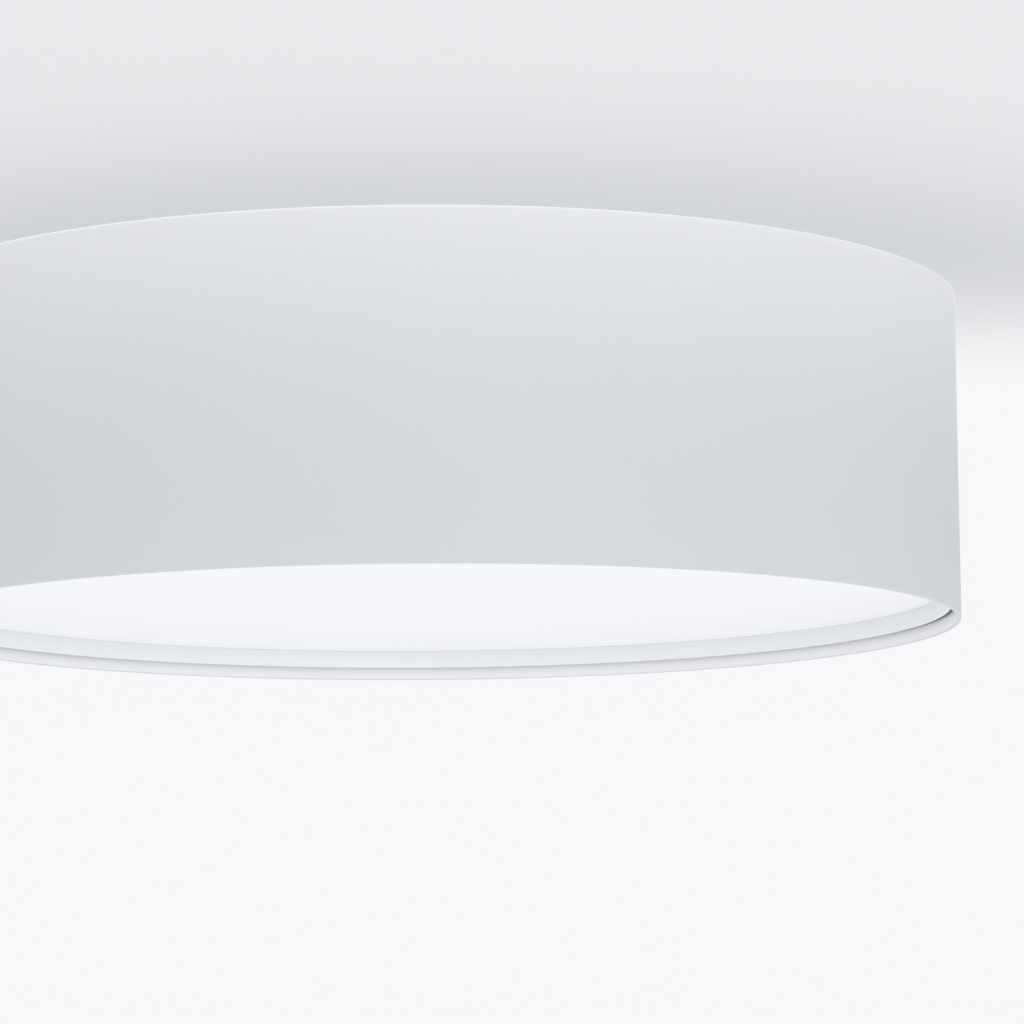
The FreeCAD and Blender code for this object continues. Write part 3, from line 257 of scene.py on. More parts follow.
def new_group(name, inputs):
    """Group with its inputs, a colour, a roughness and a height; also gives its two ends."""
    group = bpy.data.node_groups.new(name, "ShaderNodeTree")
    for end, sockets in (("INPUT", inputs), ("OUTPUT", ("Colour", "Roughness", "Height"))):
        for socket in sockets:
            kind = "Color" if socket in ("Colour", "Light", "Dark") else "Float"
            group.interface.new_socket(socket, in_out=end, socket_type=f"NodeSocket{kind}")
    given = add_node(group, "NodeGroupInput").outputs
    return group, given, add_node(group, "NodeGroupOutput").inputs


def noise(tree, place, scale, detail, roughness=0.5):
    """Cloudy pattern over a place."""
    inputs = {"Vector": place, "Scale": scale, "Detail": detail, "Roughness": roughness}
    return add_node(tree, "ShaderNodeTexNoise", inputs).outputs["Fac"]


def grain_effect():
    """Group: slow changes of tone and gloss, and the fine grain of a coating or moulding."""
    group, given, made = new_group("surface_grain", ("Colour", "Tone", "Gloss", "Spread", "Scale"))
    place = object_place(group)
    slow = noise(group, place, 14.0, 3.0)
    fine = noise(group, place, given["Scale"], 4.0)
    both = arithmetic(group, "MULTIPLY_ADD", fine, 0.35, slow)
    dim = arithmetic(group, "MULTIPLY_ADD", both, given["Tone"], 1.0)
    inputs = {0: given["Colour"], "Scale": dim}
    toned = add_node(group, "ShaderNodeVectorMath", inputs, operation="SCALE").outputs[0]
    gloss = arithmetic(group, "MULTIPLY_ADD", both, given["Spread"], given["Gloss"])
    for name, output in (("Colour", toned), ("Roughness", gloss), ("Height", fine)):
        feed(group, made[name], output)
    return group


surface_grain = grain_effect()


def clothe(tree, surface, effect, distance, strength):
    """Lead a group's colour, roughness and height into a surface."""
    inputs = {"Height": effect["Height"], "Distance": distance, "Strength": strength}
    feed(tree, surface.inputs["Base Color"], effect["Colour"])
    feed(tree, surface.inputs["Roughness"], effect["Roughness"])
    feed(tree, surface.inputs["Normal"], add_node(tree, "ShaderNodeBump", inputs).outputs[0])


def coated(name, colour, gloss, scale, depth, tone=-0.04, spread=0.08, **shader):
    """Paint or moulding with the grain group. The colour is plain, or comes from a function
    of the tree; depth is the height of the grain."""
    finish, tree, surface = new_finish(name)
    for socket, given in shader.items():
        feed(tree, surface.inputs[socket.replace("_", " ")], given)
    inputs = {"Colour": colour(tree) if callable(colour) else colour, "Tone": tone,
              "Gloss": gloss, "Spread": spread, "Scale": scale}
    grain = add_node(tree, "ShaderNodeGroup", inputs, node_tree=surface_grain)
    clothe(tree, surface, grain.outputs, depth, 0.6)
    return finish


def close_up():
    """Merge doubles and turn every face outwards."""
    bpy.ops.mesh.select_all(action="SELECT")
    bpy.ops.mesh.remove_doubles(threshold=1e-6)
    bpy.ops.mesh.normals_make_consistent(inside=False)
    return stop_shaping()


def turned_ring(name, profile, steps=256):
    """Closed ring walked round its own section and joined back to its first circle."""
    first_circle(name, *profile[0], steps)
    walk(profile + profile[:1])
    return close_up()


def turned_solid(name, profile, steps=48):
    """Solid walked along a section, its first and last circles filled flat."""
    first_circle(name, *profile[0], steps)
    walk(profile)
    bpy.ops.mesh.select_all(action="SELECT")
    bpy.ops.mesh.fill_holes(sides=0)
    return close_up()


def radius_of(node):
    """Radius of a node about the upright axis, from its own points."""
    return max(math.hypot(point.co.x, point.co.y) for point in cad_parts[node].data.vertices)


def spot(radius, degrees, aside=0.0, height=0.0):
    """Point at a radius and angle about the upright axis, moved sideways from its ray."""
    angle = math.radians(degrees)
    return (radius * math.cos(angle) - aside * math.sin(angle),
            radius * math.sin(angle) + aside * math.cos(angle), height)


def joined(pieces, name):
    """Several objects made one."""
    only(pieces[0])
    for piece in pieces:
        piece.select_set(True)
    if len(pieces) > 1:
        bpy.ops.object.join()
    pieces[0].name = name
    return pieces[0]


def peg(place, radius, length, steps=32, top=None, **turn):
    """Round bar or cone about a place, for a hole or a boss; six steps make a hexagon."""
    bpy.ops.object.select_all(action="DESELECT")
    upper = radius if top is None else top
    bpy.ops.mesh.primitive_cone_add(vertices=steps, radius1=radius, radius2=upper, depth=length,
                                    location=place, **turn)
    return settle("peg")


def with_modifier(piece, kind, **settings):
    """Apply one modifier to a piece."""
    modifier = only(piece).modifiers.new("shaping", kind)
    for key, setting in settings.items():
        setattr(modifier, key, setting)
    bpy.ops.object.modifier_apply(modifier="shaping")
    return piece


def carve(piece, tools, operation="DIFFERENCE"):
    """Cut tools out of a piece, weld them on or keep what they share, and clear them away."""
    tool = joined(tools, "tool")
    with_modifier(piece, "BOOLEAN", object=tool, operation=operation, solver="EXACT")
    bpy.data.objects.remove(tool)
    return piece


def dress(piece, finish, soften=0.0, steps=2, angle=30):
    """Round a piece's edges, smooth its faces and give it its finish."""
    if soften:
        with_modifier(piece, "BEVEL", width=soften, segments=steps, limit_method="ANGLE",
                      angle_limit=math.radians(angle))
    only(piece)
    bpy.ops.object.shade_smooth_by_angle(angle=math.radians(angle))
    piece.data.materials.clear()
    piece.data.materials.append(finish)
    return piece


def belong(piece, body, slot, *nodes):
    """Say what a piece moves with and the nodes it stands for; the finish slot is not used."""
    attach(piece, body)
    if nodes:
        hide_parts(*nodes)


def swung(piece, degrees):
    """Turn a piece about the upright axis, in its mesh."""
    only(piece).rotation_euler = (0, 0, math.radians(degrees))
    return settle(piece.name)


def thrice(piece):
    """The piece and two copies, a third of a turn apart about the upright axis."""
    base = piece.name
    pieces = [piece]
    for number in (2, 3):
        only(piece)
        bpy.ops.object.duplicate()
        bpy.context.object.name = f"{base}_{number}"
        pieces.append(swung(bpy.context.object, 120 * (number - 1)))
    piece.name = f"{base}_1"
    return pieces


def belong_thrice(piece, body, slot, *nodes):
    """Belong for a piece and its two copies; {} stands for the number of each."""
    for number, each in enumerate(thrice(piece), start=1):
        belong(each, body.format(number), slot, *(node.format(number) for node in nodes))


third_angles = (90, 210, 330)
pan_radius = radius_of("ceiling_pan")
pan_depth = 0.008
pan_sheet = 0.001
rim_inside = pan_radius - 0.021
web_radius = rim_inside - pan_depth
web_under = -(pan_depth + pan_sheet)
press_shift = pan_sheet * math.tan(math.radians(22.5))
bead_circle = web_radius - 0.018
bead_half = 0.004
bead_rise = 0.002
pan_white = coated("pan_powder_coat", (0.74, 0.75, 0.765), 0.45, 1400.0, 0.00005)

pan = turned_solid("pressed_pan", [
    (bead_circle - bead_half, -pan_depth),
    (bead_circle, bead_rise - pan_depth),
    (bead_circle + bead_half, -pan_depth),
    (web_radius, -pan_depth),
    (rim_inside, 0),
    (pan_radius, 0),
    (pan_radius, -pan_sheet),
    (rim_inside + press_shift, -pan_sheet),
    (web_radius + press_shift, web_under),
    (bead_circle + bead_half, web_under),
    (bead_circle, web_under + bead_rise),
    (bead_circle - bead_half, web_under),
], 192)
boss_circle = 0.150
boss_top = 0.010
boss_height = pan_depth + 0.0005
boss_places = [spot(boss_circle, angle - 60) for angle in third_angles]
boss_steps = ((0, boss_top, "UNION"), (pan_sheet, boss_top - press_shift, "DIFFERENCE"))
for drop, top, operation in boss_steps:
    carve(pan, [
        peg((x, y, -drop - boss_height / 2), top + boss_height, boss_height, 64, top=top)
        for x, y, z in boss_places
    ], operation)

clearance = 0.00005
drill_length = 0.02
drill_middle = -0.005
fixing_hole = 0.00275
screw_hole = 0.0020
block_screw_hole = 0.0015
stud_circle = 0.236
stud_neck = 0.0025
entry_reach = 0.096
grommet_waist = 0.009
block_reach = 0.052
block_aside = 0.012
clamp_reach = 0.078
clamp_aside = 0.0115
bracket_reach = 0.041
bracket_aside = 0.010
earth_place = (0.036, -0.058, 0)
bracket_screw_places = [
    spot(bracket_reach, angle, side * bracket_aside) for angle in third_angles for side in (-1, 1)
]
block_screw_places = [(side * block_aside, -block_reach, 0) for side in (-1, 1)]
clamp_screw_places = [(side * clamp_aside, -clamp_reach, 0) for side in (-1, 1)]
screw_places = bracket_screw_places + clamp_screw_places + [earth_place]
pan_holes = [(place, fixing_hole) for place in boss_places]
pan_holes += [((0, -entry_reach, 0), grommet_waist)]
pan_holes += [(place, screw_hole) for place in screw_places]
pan_holes += [(place, block_screw_hole) for place in block_screw_places]
pan_holes += [(spot(stud_circle, angle), stud_neck + clearance) for angle in third_angles]
drills = [peg((x, y, drill_middle), radius, drill_length) for (x, y, z), radius in pan_holes]
carve(pan, drills)
belong(dress(pan, pan_white, 0.0004), "ceiling_base", "white_pan_paint", "ceiling_pan")

# ------------------------------------------------------------------ shade studs and grommet
# Three shouldered steel studs are riveted head down into the pan's rim for the shade's keyholes.
# The cable comes through a soft black grommet that is pressed into the web.


def haze_effect():
    """Group: cloudy change between two tones of metal, and fine drawn streaks."""
    group, given, made = new_group("metal_haze", ("Light", "Dark", "Gloss", "Spread", "Scale"))
    place = object_place(group)
    cloud = noise(group, place, given["Scale"], 5.0, 0.6)
    stretch = add_node(group, "ShaderNodeMapping", {"Vector": place, "Scale": (1.0, 1.0, 14.0)})
    streak = noise(group, stretch.outputs["Vector"], 260.0, 3.0)
    tones = blended(group, ramp(group, cloud, 0.35, 0.65), given["Light"], given["Dark"])
    both = arithmetic(group, "MULTIPLY_ADD", streak, 0.6, cloud)
    gloss = arithmetic(group, "MULTIPLY_ADD", both, given["Spread"], given["Gloss"])
    for name, output in (("Colour", tones), ("Roughness", gloss), ("Height", streak)):
        feed(group, made[name], output)
    return group


metal_haze = haze_effect()


def metal(name, light, dark, gloss, scale):
    """Bare or plated metal with the haze group."""
    finish, tree, surface = new_finish(name)
    feed(tree, surface.inputs["Metallic"], 1.0)
    inputs = {"Light": light, "Dark": dark, "Gloss": gloss, "Spread": 0.16, "Scale": scale}
    haze = add_node(tree, "ShaderNodeGroup", inputs, node_tree=metal_haze)
    clothe(tree, surface, haze.outputs, 0.00002, 0.4)
    return finish


def moved(piece, place):
    """Shift a piece's mesh to a place."""
    start_shaping(piece)
    bpy.ops.transform.translate(value=place)
    return stop_shaping()


zinc = metal("bright_zinc", (0.68, 0.69, 0.71), (0.56, 0.575, 0.60), 0.24, 160.0)
stud_low, stud_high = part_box("shade_stud_1")
stud_head = 0.0050
head_height = 0.0020
stud = turned_solid("rim_stud", [
    (stud_neck - 0.0004, stud_high.z),
    (stud_neck, stud_high.z - 0.0004),
    (stud_neck, stud_low.z + head_height),
    (stud_head, stud_low.z + head_height),
    (stud_head, stud_low.z + 0.0008),
    (stud_head - 0.0010, stud_low.z),
])
moved(stud, spot(stud_circle, third_angles[0]))
dress(stud, zinc, 0.00025)
belong_thrice(stud, "ceiling_base", "zinc_plated_steel", "shade_stud_{}")

rubber = coated("black_rubber", (0.028, 0.028, 0.030), 0.62, 700.0, 0.00008, spread=0.15)
grommet_low, grommet_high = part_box("cable_grommet")
bore = 0.005
bore_round = 0.0008
bore_drop = 0.0006
flange = 0.012
flange_slope = 0.0012
grommet = turned_ring("grommet", [
    (bore, grommet_low.z + bore_drop),
    (bore + bore_round, grommet_low.z),
    (flange - flange_slope, grommet_low.z),
    (flange, web_under),
    (grommet_waist, web_under),
    (grommet_waist, -pan_depth),
    (flange, -pan_depth),
    (flange - flange_slope, grommet_high.z),
    (bore + bore_round, grommet_high.z),
    (bore, grommet_high.z - bore_drop),
], 64)
moved(grommet, (0, -entry_reach, 0))
belong(dress(grommet, rubber, 0.0003), "ceiling_base", "grommet_rubber", "cable_grommet")

# ------------------------------------------------------------------ terminal block and clamp
# A pale polyamide block with four brass ways stands on the web, and a dark saddle beside it
# grips the cable. Hexagon screws go up through both into the web, their threads showing above.

screw_pitch = 0.0007
screw_point = 0.003 - pan_depth
collar_height = 0.0004
hexagon_start = 0.0003
hexagon_height = 0.0021
slot_depth = 0.0009
slot_width = 0.0007


def pick(piece, mode, wanted):
    """Edit mode with only the wanted edges or faces of a piece selected."""
    start_shaping(piece, mode)
    bpy.ops.mesh.select_all(action="DESELECT")
    stop_shaping()
    for part in piece.data.edges if mode == "EDGE" else piece.data.polygons:
        part.select = wanted(part)
    bpy.ops.object.mode_set(mode="EDIT")


def bar(place, size, name="bar"):
    """Square bar about a place, with its three lengths."""
    bpy.ops.object.select_all(action="DESELECT")
    bpy.ops.mesh.primitive_cube_add(size=1, location=place)
    bpy.context.object.scale = size
    return settle(name)


def dressed_copy(node, name, finish, soften, body, slot):
    """A node's own shape as a piece, merged, its flat faces made whole, and dressed."""
    piece = bpy.data.objects.new(name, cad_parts[node].data.copy())
    bpy.context.scene.collection.objects.link(piece)
    start_shaping(piece)
    bpy.ops.mesh.remove_doubles(threshold=2e-6)
    bpy.ops.mesh.dissolve_limited(angle_limit=math.radians(0.8))
    belong(dress(stop_shaping(), finish, soften), body, slot, node)


def thread_profile(radius, root, start, end, pitch):
    """Section of a fine screw thread from one height down to another."""
    profile = [(root, start)]
    for i in range(int((start - end) / pitch)):
        top = start - i * pitch
        profile += [(root, top - 0.2 * pitch), (radius, top - 0.5 * pitch),
                    (radius, top - 0.6 * pitch)]
    return profile + [(root, end)]


def hexagon_screw(place, seat, head, shank):
    """Slotted hexagon screw with a collar, pointing up, its head under a face."""
    turns = thread_profile(shank, 0.85 * shank, screw_point, seat, screw_pitch)
    body = turned_solid("screw", turns, 24)
    under = seat - hexagon_start - hexagon_height
    hexagon = peg((0, 0, under + hexagon_height / 2), head, hexagon_height, 6)
    with_modifier(hexagon, "BEVEL", width=0.0003, segments=2)
    carve(hexagon, [bar((0, 0, under), (3 * head, slot_width, 2 * slot_depth))])
    collar = peg((0, 0, seat - collar_height / 2), 1.02 * head, collar_height)
    with_modifier(collar, "BEVEL", width=0.0001, segments=2)
    return moved(joined([body, hexagon, collar], "screw"), (place[0], place[1], 0))


def screw_set(name, places, seat, node, head=0.0036, shank=0.0019):
    """Hexagon screws under one face, made one piece."""
    screws = [hexagon_screw(place, seat, head, shank) for place in places]
    belong(dress(joined(screws, name), zinc), "ceiling_base", "zinc_plated_steel", node)


block_white = coated("terminal_polyamide", (0.80, 0.79, 0.73), 0.38, 500.0, 0.00003,
                     Subsurface_Weight=0.15)
block_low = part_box("terminal_block")[0]
block_half = 0.009
terminal_pitch = 0.012
terminal_places = [(i - 1.5) * terminal_pitch for i in range(4)]
terminal_level = block_low.z + 0.008
dressed_copy("terminal_block", "terminal_moulding", block_white, 0.00035, "ceiling_base",
             "terminal_moulding")

brass = metal("terminal_brass", (0.80, 0.66, 0.36), (0.70, 0.55, 0.28), 0.25, 200.0)
insert_side = 0.0042
insert_length = 0.0062
insert_wall = 0.0004
insert_inset = 0.0006
inserts = []
for middle in terminal_places:
    for outward in (-1, 1):
        y = outward * (block_half - insert_inset - insert_length / 2) - block_reach
        size = (insert_side, insert_length, insert_side)
        tube = bar((middle, y, terminal_level), size)
        pick(tube, "FACE", lambda face: face.normal.y * outward > 0.9)
        bpy.ops.mesh.inset(thickness=insert_wall)
        inward = (0, -outward * (insert_length - insert_wall), 0)
        bpy.ops.mesh.extrude_region_move(TRANSFORM_OT_translate={"value": inward})
        inserts.append(stop_shaping())
inserts = dress(joined(inserts, "terminal_inserts"), brass, 0.00008)
belong(inserts, "ceiling_base", "brass_plated")

terminal_screws = []
terminal_head = 0.0022
terminal_under = terminal_level - 0.0053
for middle in terminal_places:
    screw = turned_solid("screw", [
        (0.0016, terminal_level), (terminal_head, terminal_level - 0.0004),
        (terminal_head, terminal_under + 0.0003), (terminal_head - 0.0003, terminal_under),
    ], 32)
    carve(screw, [bar((0, 0, terminal_under), (0.006, slot_width, 0.0022))])
    terminal_screws.append(moved(screw, (middle, -block_reach, 0)))
terminal_screws = dress(joined(terminal_screws, "terminal_screw_set"), zinc, 0.00008)
belong(terminal_screws, "ceiling_base", "brass_plated", "terminal_screws")
block_seat = block_low.z + 0.005
screw_set("block_screw_pair", block_screw_places, block_seat, "block_screws", head=0.0026,
          shank=0.0014)

clamp_black = coated("clamp_polyamide", (0.045, 0.045, 0.050), 0.42, 900.0, 0.00004)
dressed_copy("cable_clamp", "cable_saddle", clamp_black, 0.0004, "ceiling_base", "clamp_moulding")
clamp_seat = web_under - 0.0025
screw_set("clamp_screw_pair", clamp_screw_places, clamp_seat, "clamp_screws")

# ------------------------------------------------------------------ leads
# Each holder has a sleeved pair of cores that runs from its nipple to the block, and a green
# and yellow earth wire with a crimped ring tag is held under the earth screw.


def lead(name, points, radius):
    """Round lead along a smooth line through a route's corners, as a mesh."""
    data = bpy.data.curves.new(name, "CURVE")
    data.dimensions = "3D"
    data.bevel_depth = radius
    data.bevel_resolution = 5
    data.use_fill_caps = True
    line = data.splines.new("NURBS")
    line.points.add(len(points) - 1)
    for point, place in zip(line.points, points):
        point.co = (*place, 1)
    line.order_u = 3
    line.use_endpoint_u = True
    line.resolution_u = 12
    piece = bpy.data.objects.new(name, data)
    bpy.context.scene.collection.objects.link(piece)
    only(piece)
    bpy.ops.object.convert(target="MESH")
    piece = bpy.context.object
    piece.name = name
    start_shaping(piece)
    return close_up()


braid_along = 190.0
braid_around = 6


def sleeve_finish():
    """Varnished glass-fibre braid: two crossing sets of strands round the lead."""
    finish, tree, surface = new_finish("braided_sleeve")
    route = add_node(tree, "ShaderNodeUVMap").outputs["UV"]
    along = arithmetic(tree, "MULTIPLY", axis(tree, route, "X"), braid_along)
    turn = 2 * math.pi * braid_around
    around = arithmetic(tree, "MULTIPLY", axis(tree, route, "Y"), turn)
    strands = [
        arithmetic(tree, "SINE", arithmetic(tree, sign, along, around))
        for sign in ("ADD", "SUBTRACT")
    ]
    highest = arithmetic(tree, "MAXIMUM", *strands)
    height = arithmetic(tree, "MULTIPLY_ADD", highest, 0.5, 0.5)
    strand = blended(tree, height, (0.56, 0.54, 0.49), (0.80, 0.78, 0.73))
    clothe(tree, surface, {"Colour": strand, "Roughness": 0.5, "Height": height}, 0.0002, 1.0)
    return finish


def earth_stripes(tree):
    """Green with a yellow stripe on each side."""
    around = axis(tree, add_node(tree, "ShaderNodeUVMap").outputs["UV"], "Y")
    stripe = arithmetic(tree, "SINE", arithmetic(tree, "MULTIPLY", around, 4 * math.pi))
    return blended(tree, ramp(tree, stripe, 0.25, 0.32), (0.09, 0.30, 0.05), (0.85, 0.70, 0.06))


bulb_level = -0.070
nipple_end = 0.050
sleeve_radius = 0.0025
core_radius = 0.0009
entry_depth = 0.004
sleeve_braid = sleeve_finish()
core_finishes = [
    coated(f"{name}_core", colour, 0.35, 500.0, 0.00002)
    for name, colour in (("brown", (0.13, 0.045, 0.02)), ("blue", (0.03, 0.16, 0.42)))
]
block_inner_face = block_half - block_reach
ways = (terminal_places[1], terminal_places[0], terminal_places[2])
for number, (angle, way) in enumerate(zip(third_angles, ways), start=1):
    start = Vector(spot(nipple_end, angle, height=bulb_level))
    inner = Vector(spot(nipple_end - 7 * sleeve_radius, angle, height=bulb_level))
    beside = Vector((way, block_inner_face + 6 * sleeve_radius, terminal_level))
    middle = (inner + beside) / 2 - Vector((0, 0, 2 * sleeve_radius))
    end = Vector((way, block_inner_face + entry_depth, terminal_level))
    sleeve = lead(f"sleeve_{number}", [start, inner, middle, beside, end], sleeve_radius)
    belong(dress(sleeve, sleeve_braid), "ceiling_base", "lead_sleeve", f"holder_lead_{number}")
    for colour, finish, side in zip(("brown", "blue"), core_finishes, (-1, 1)):
        points = [
            end + Vector((side * 1.05 * core_radius, along, 0)) for along in (0.003, 0, -0.0075)
        ]
        core = lead(f"{colour}_core_{number}", points, core_radius)
        belong(dress(core, finish), "ceiling_base", "lead_sleeve")

earth_radius = 0.0014
tag_radius = 0.005
tag_sheet = 0.0008
tag_level = web_under - tag_sheet
rest_level = tag_level - earth_radius
earth_way = terminal_places[3]
earth_end = Vector((earth_place[0], earth_place[1] - tag_radius - 0.4 * earth_radius, rest_level))
half_way = ((earth_way + earth_end.x) / 2, (terminal_level + rest_level) / 2)
block_face = -block_reach - block_half
earth_points = [
    Vector((earth_way, block_face + entry_depth, terminal_level)),
    Vector((earth_way, block_face - 5 * earth_radius, terminal_level)),
    Vector((half_way[0], block_face - 8 * earth_radius, half_way[1])),
    earth_end - Vector((0, 6 * earth_radius, 0)),
    earth_end,
]
earth_green = coated("earth_insulation_two_tone", earth_stripes, 0.34, 600.0, 0.0, -0.05, 0.1)
earth_wire = dress(lead("earth_wire", earth_points, earth_radius), earth_green)
belong(earth_wire, "ceiling_base", "earth_insulation", "earth_lead")


def tipped(piece, degrees, place):
    """Turn a piece about the X axis and take it to a place, in its mesh."""
    only(piece).rotation_euler = (math.radians(degrees), 0, 0)
    piece.location = place
    return settle(piece.name)


tag = turned_ring("ring_tag", [
    (screw_hole, tag_level), (tag_radius, tag_level), (tag_radius, web_under),
    (screw_hole, web_under),
], 48)
moved(tag, earth_place)
barrel_half = 0.003
barrel_bore = earth_radius + 0.0001
barrel_radius = barrel_bore + 0.0004
barrel = turned_ring("barrel", [
    (barrel_bore, -barrel_half), (barrel_radius, -barrel_half), (barrel_radius, barrel_half),
    (barrel_bore, barrel_half),
], 32)
tipped(barrel, 90, earth_end - Vector((0, barrel_half / 2, 0)))
tag = dress(joined([tag, barrel], "crimped_tag"), zinc, 0.00012)
belong(tag, "ceiling_base", "zinc_plated_steel")
screw_set("earth_terminal_screw", [earth_place], tag_level, "earth_screw")

# ------------------------------------------------------------------ lamp holder brackets
# Bent strips of zinc plated steel, each held under the web by two screws. A hollow threaded
# nipple and a hexagon nut clamp the lamp holder to the strip's upright.


def lay_down(piece):
    """Turn a piece made about the upright axis to lie outwards along +Y at the bulbs' level."""
    return tipped(piece, -90, (0, 0, bulb_level))


holder_start = 0.062
bracket_sheet = 0.0015
for number in (1, 2, 3):
    dressed_copy(f"holder_bracket_{number}", f"bracket_{number}", zinc, 0.0003, "ceiling_base",
                 "zinc_plated_steel")
bracket_seat = web_under - bracket_sheet
screw_set("bracket_screw_set", bracket_screw_places, bracket_seat, "bracket_screws")

nipple_radius = 0.005
nipple_bore = 0.003
nipple_front = holder_start + 0.008
nipple_root = nipple_radius - 0.0005
nipple_turns = thread_profile(nipple_radius, nipple_root, nipple_front, nipple_end, 0.001)
nipple_inside = [(nipple_bore, nipple_end), (nipple_bore, nipple_front)]
nipple = lay_down(turned_ring("nipple", nipple_turns + nipple_inside, 48))
nipples = joined(thrice(dress(nipple, zinc)), "nipple_set")
belong(nipples, "ceiling_base", "zinc_plated_steel", "holder_nipples")

nut_height = 0.004
nut_radius = 0.0087
nut_middle = (0, 0, holder_start - bracket_sheet - nut_height / 2)
nut = peg(nut_middle, nut_radius, nut_height, 6)
nut.name = "nut"
chamfer = peg(nut_middle, nut_radius - 0.0002, nut_height + 0.0001, 64)
carve(nut, [with_modifier(chamfer, "BEVEL", width=0.0009, segments=3)], "INTERSECT")
carve(nut, [peg(nut_middle, nipple_radius + clearance, drill_length, 48)])
nuts = joined(thrice(dress(lay_down(nut), zinc, 0.00015)), "nut_set")
belong(nuts, "ceiling_base", "zinc_plated_steel", "lock_nuts")

# ------------------------------------------------------------------ lamp holders
# Glossy white thermoset mouldings with a ribbed waist. Inside each are a drawn brass shell
# with the bulb's thread and a springy brass strip for the centre contact.

holder_white = coated("holder_thermoset", (0.80, 0.80, 0.785), 0.24, 300.0, 0.00002, spread=0.06,
                      Coat_Weight=0.2)
holder_steps = 96
holder_mouth = holder_start + 0.044
holder_step = holder_start + 0.024
holder_floor = holder_start + 0.0100
holder_radius = 0.020
holder_waist = holder_radius - 0.0015
groove_radius = holder_radius - 0.0006
shell_bore = 0.0143
chamber = 0.0095
grip_start = holder_start + 0.0070
grip_end = holder_step - 0.0020
holder = turned_ring("holder", [
    (nipple_radius + clearance, holder_start),
    (0.0140, holder_start),
    (0.0172, holder_start + 0.0018),
    (holder_waist, holder_start + 0.0050),
    (holder_waist, grip_start),
    (holder_waist, grip_end),
    (holder_waist, holder_step),
    (holder_radius, holder_step + 0.0008),
    (holder_radius, holder_mouth - 0.0030),
    (groove_radius, holder_mouth - 0.0024),
    (groove_radius, holder_mouth - 0.0018),
    (holder_radius, holder_mouth - 0.0012),
    (holder_radius - 0.0003, holder_mouth),
    (shell_bore, holder_mouth),
    (shell_bore, holder_step),
    (chamber, holder_step),
    (chamber, holder_floor),
    (nipple_radius + clearance, holder_floor),
], holder_steps)


def on_rib(face):
    """True for every fourth face of the waist's grip."""
    x, y, z = face.center
    on_grip = math.hypot(x, y) > holder_waist - 0.001 and grip_start < z < grip_end
    turn = math.degrees(math.atan2(y, x)) % 360
    return on_grip and int(turn * holder_steps / 360) % 4 == 0


pick(holder, "FACE", on_rib)
bpy.ops.mesh.inset(thickness=0.0001, use_individual=True)
bpy.ops.mesh.extrude_region_shrink_fatten(TRANSFORM_OT_shrink_fatten={"value": 0.0005})
stop_shaping()
dress(lay_down(holder), holder_white, 0.0002)
belong_thrice(holder, "ceiling_base", "holder_moulding", "holder_body_{}")


def screw_thread(name, radius, depth, start, turns, pitch, points=8, steps=64):
    """Round thread: a wave along the axis, wound up into a right-hand helix."""
    wave = []
    for i in range(turns * points + 1):
        dip = depth * (1 - math.cos(2 * math.pi * i / points)) / 2
        wave.append(Vector((radius - dip, 0, start + i * pitch / points)))
    bpy.ops.object.select_all(action="DESELECT")
    bpy.ops.mesh.primitive_plane_add(size=0.001, location=wave[0])
    piece = settle(name)
    start_shaping(piece)
    bpy.ops.mesh.merge(type="CENTER")
    for point, next_point in zip(wave, wave[1:]):
        step = tuple(next_point - point)
        bpy.ops.mesh.extrude_region_move(TRANSFORM_OT_translate={"value": step})
    stop_shaping()
    with_modifier(piece, "SCREW", axis="Z", angle=2 * math.pi, screw_offset=pitch, steps=steps,
                  render_steps=steps, iterations=1, use_merge_vertices=True)
    start_shaping(piece)
    bpy.ops.mesh.remove_doubles(threshold=1e-5)
    bpy.ops.mesh.normals_make_consistent(inside=False)
    return stop_shaping()


thread_pitch = 0.0254 / 7
shell_brass = metal("shell_brass", (0.83, 0.68, 0.36), (0.72, 0.57, 0.28), 0.2, 120.0)
shell_inside = 0.0133
shell_lip = 0.0092
thread_start = holder_step + 0.0012
thread_join = thread_start + thread_pitch
thread_dip = 0.0005
shell_crest = shell_inside + thread_dip
shell_wave = screw_thread("shell_wave", shell_crest, thread_dip, thread_start, 4, thread_pitch)
with_modifier(shell_wave, "SOLIDIFY", thickness=0.0003, offset=1.0)
shell_end = turned_ring("shell_end", [
    (shell_lip, holder_step + 0.0001),
    (shell_inside + 0.0003, holder_step + 0.0001),
    (shell_inside + 0.0007, holder_step + 0.0008),
    (shell_inside + 0.0007, thread_join),
    (shell_inside + 0.0004, thread_join),
    (shell_inside + 0.0004, holder_step + 0.0010),
    (shell_inside, holder_step + 0.0005),
    (shell_lip, holder_step + 0.0005),
], 64)
shell = dress(lay_down(joined([shell_wave, shell_end], "threaded_shell")), shell_brass)
belong_thrice(shell, "ceiling_base", "shell_brass", "holder_shell_{}")
for number in (1, 2, 3):
    dressed_copy(f"holder_contact_{number}", f"contact_strip_{number}", shell_brass, 0.00015,
                 "ceiling_base", "shell_brass")

# ------------------------------------------------------------------ bulbs
# Round LED bulbs with an E27 cap: a soldered centre contact, a dark glass insulator, a rolled
# cap with a round thread, a satin plastic body and an opal dome that is glued into it.

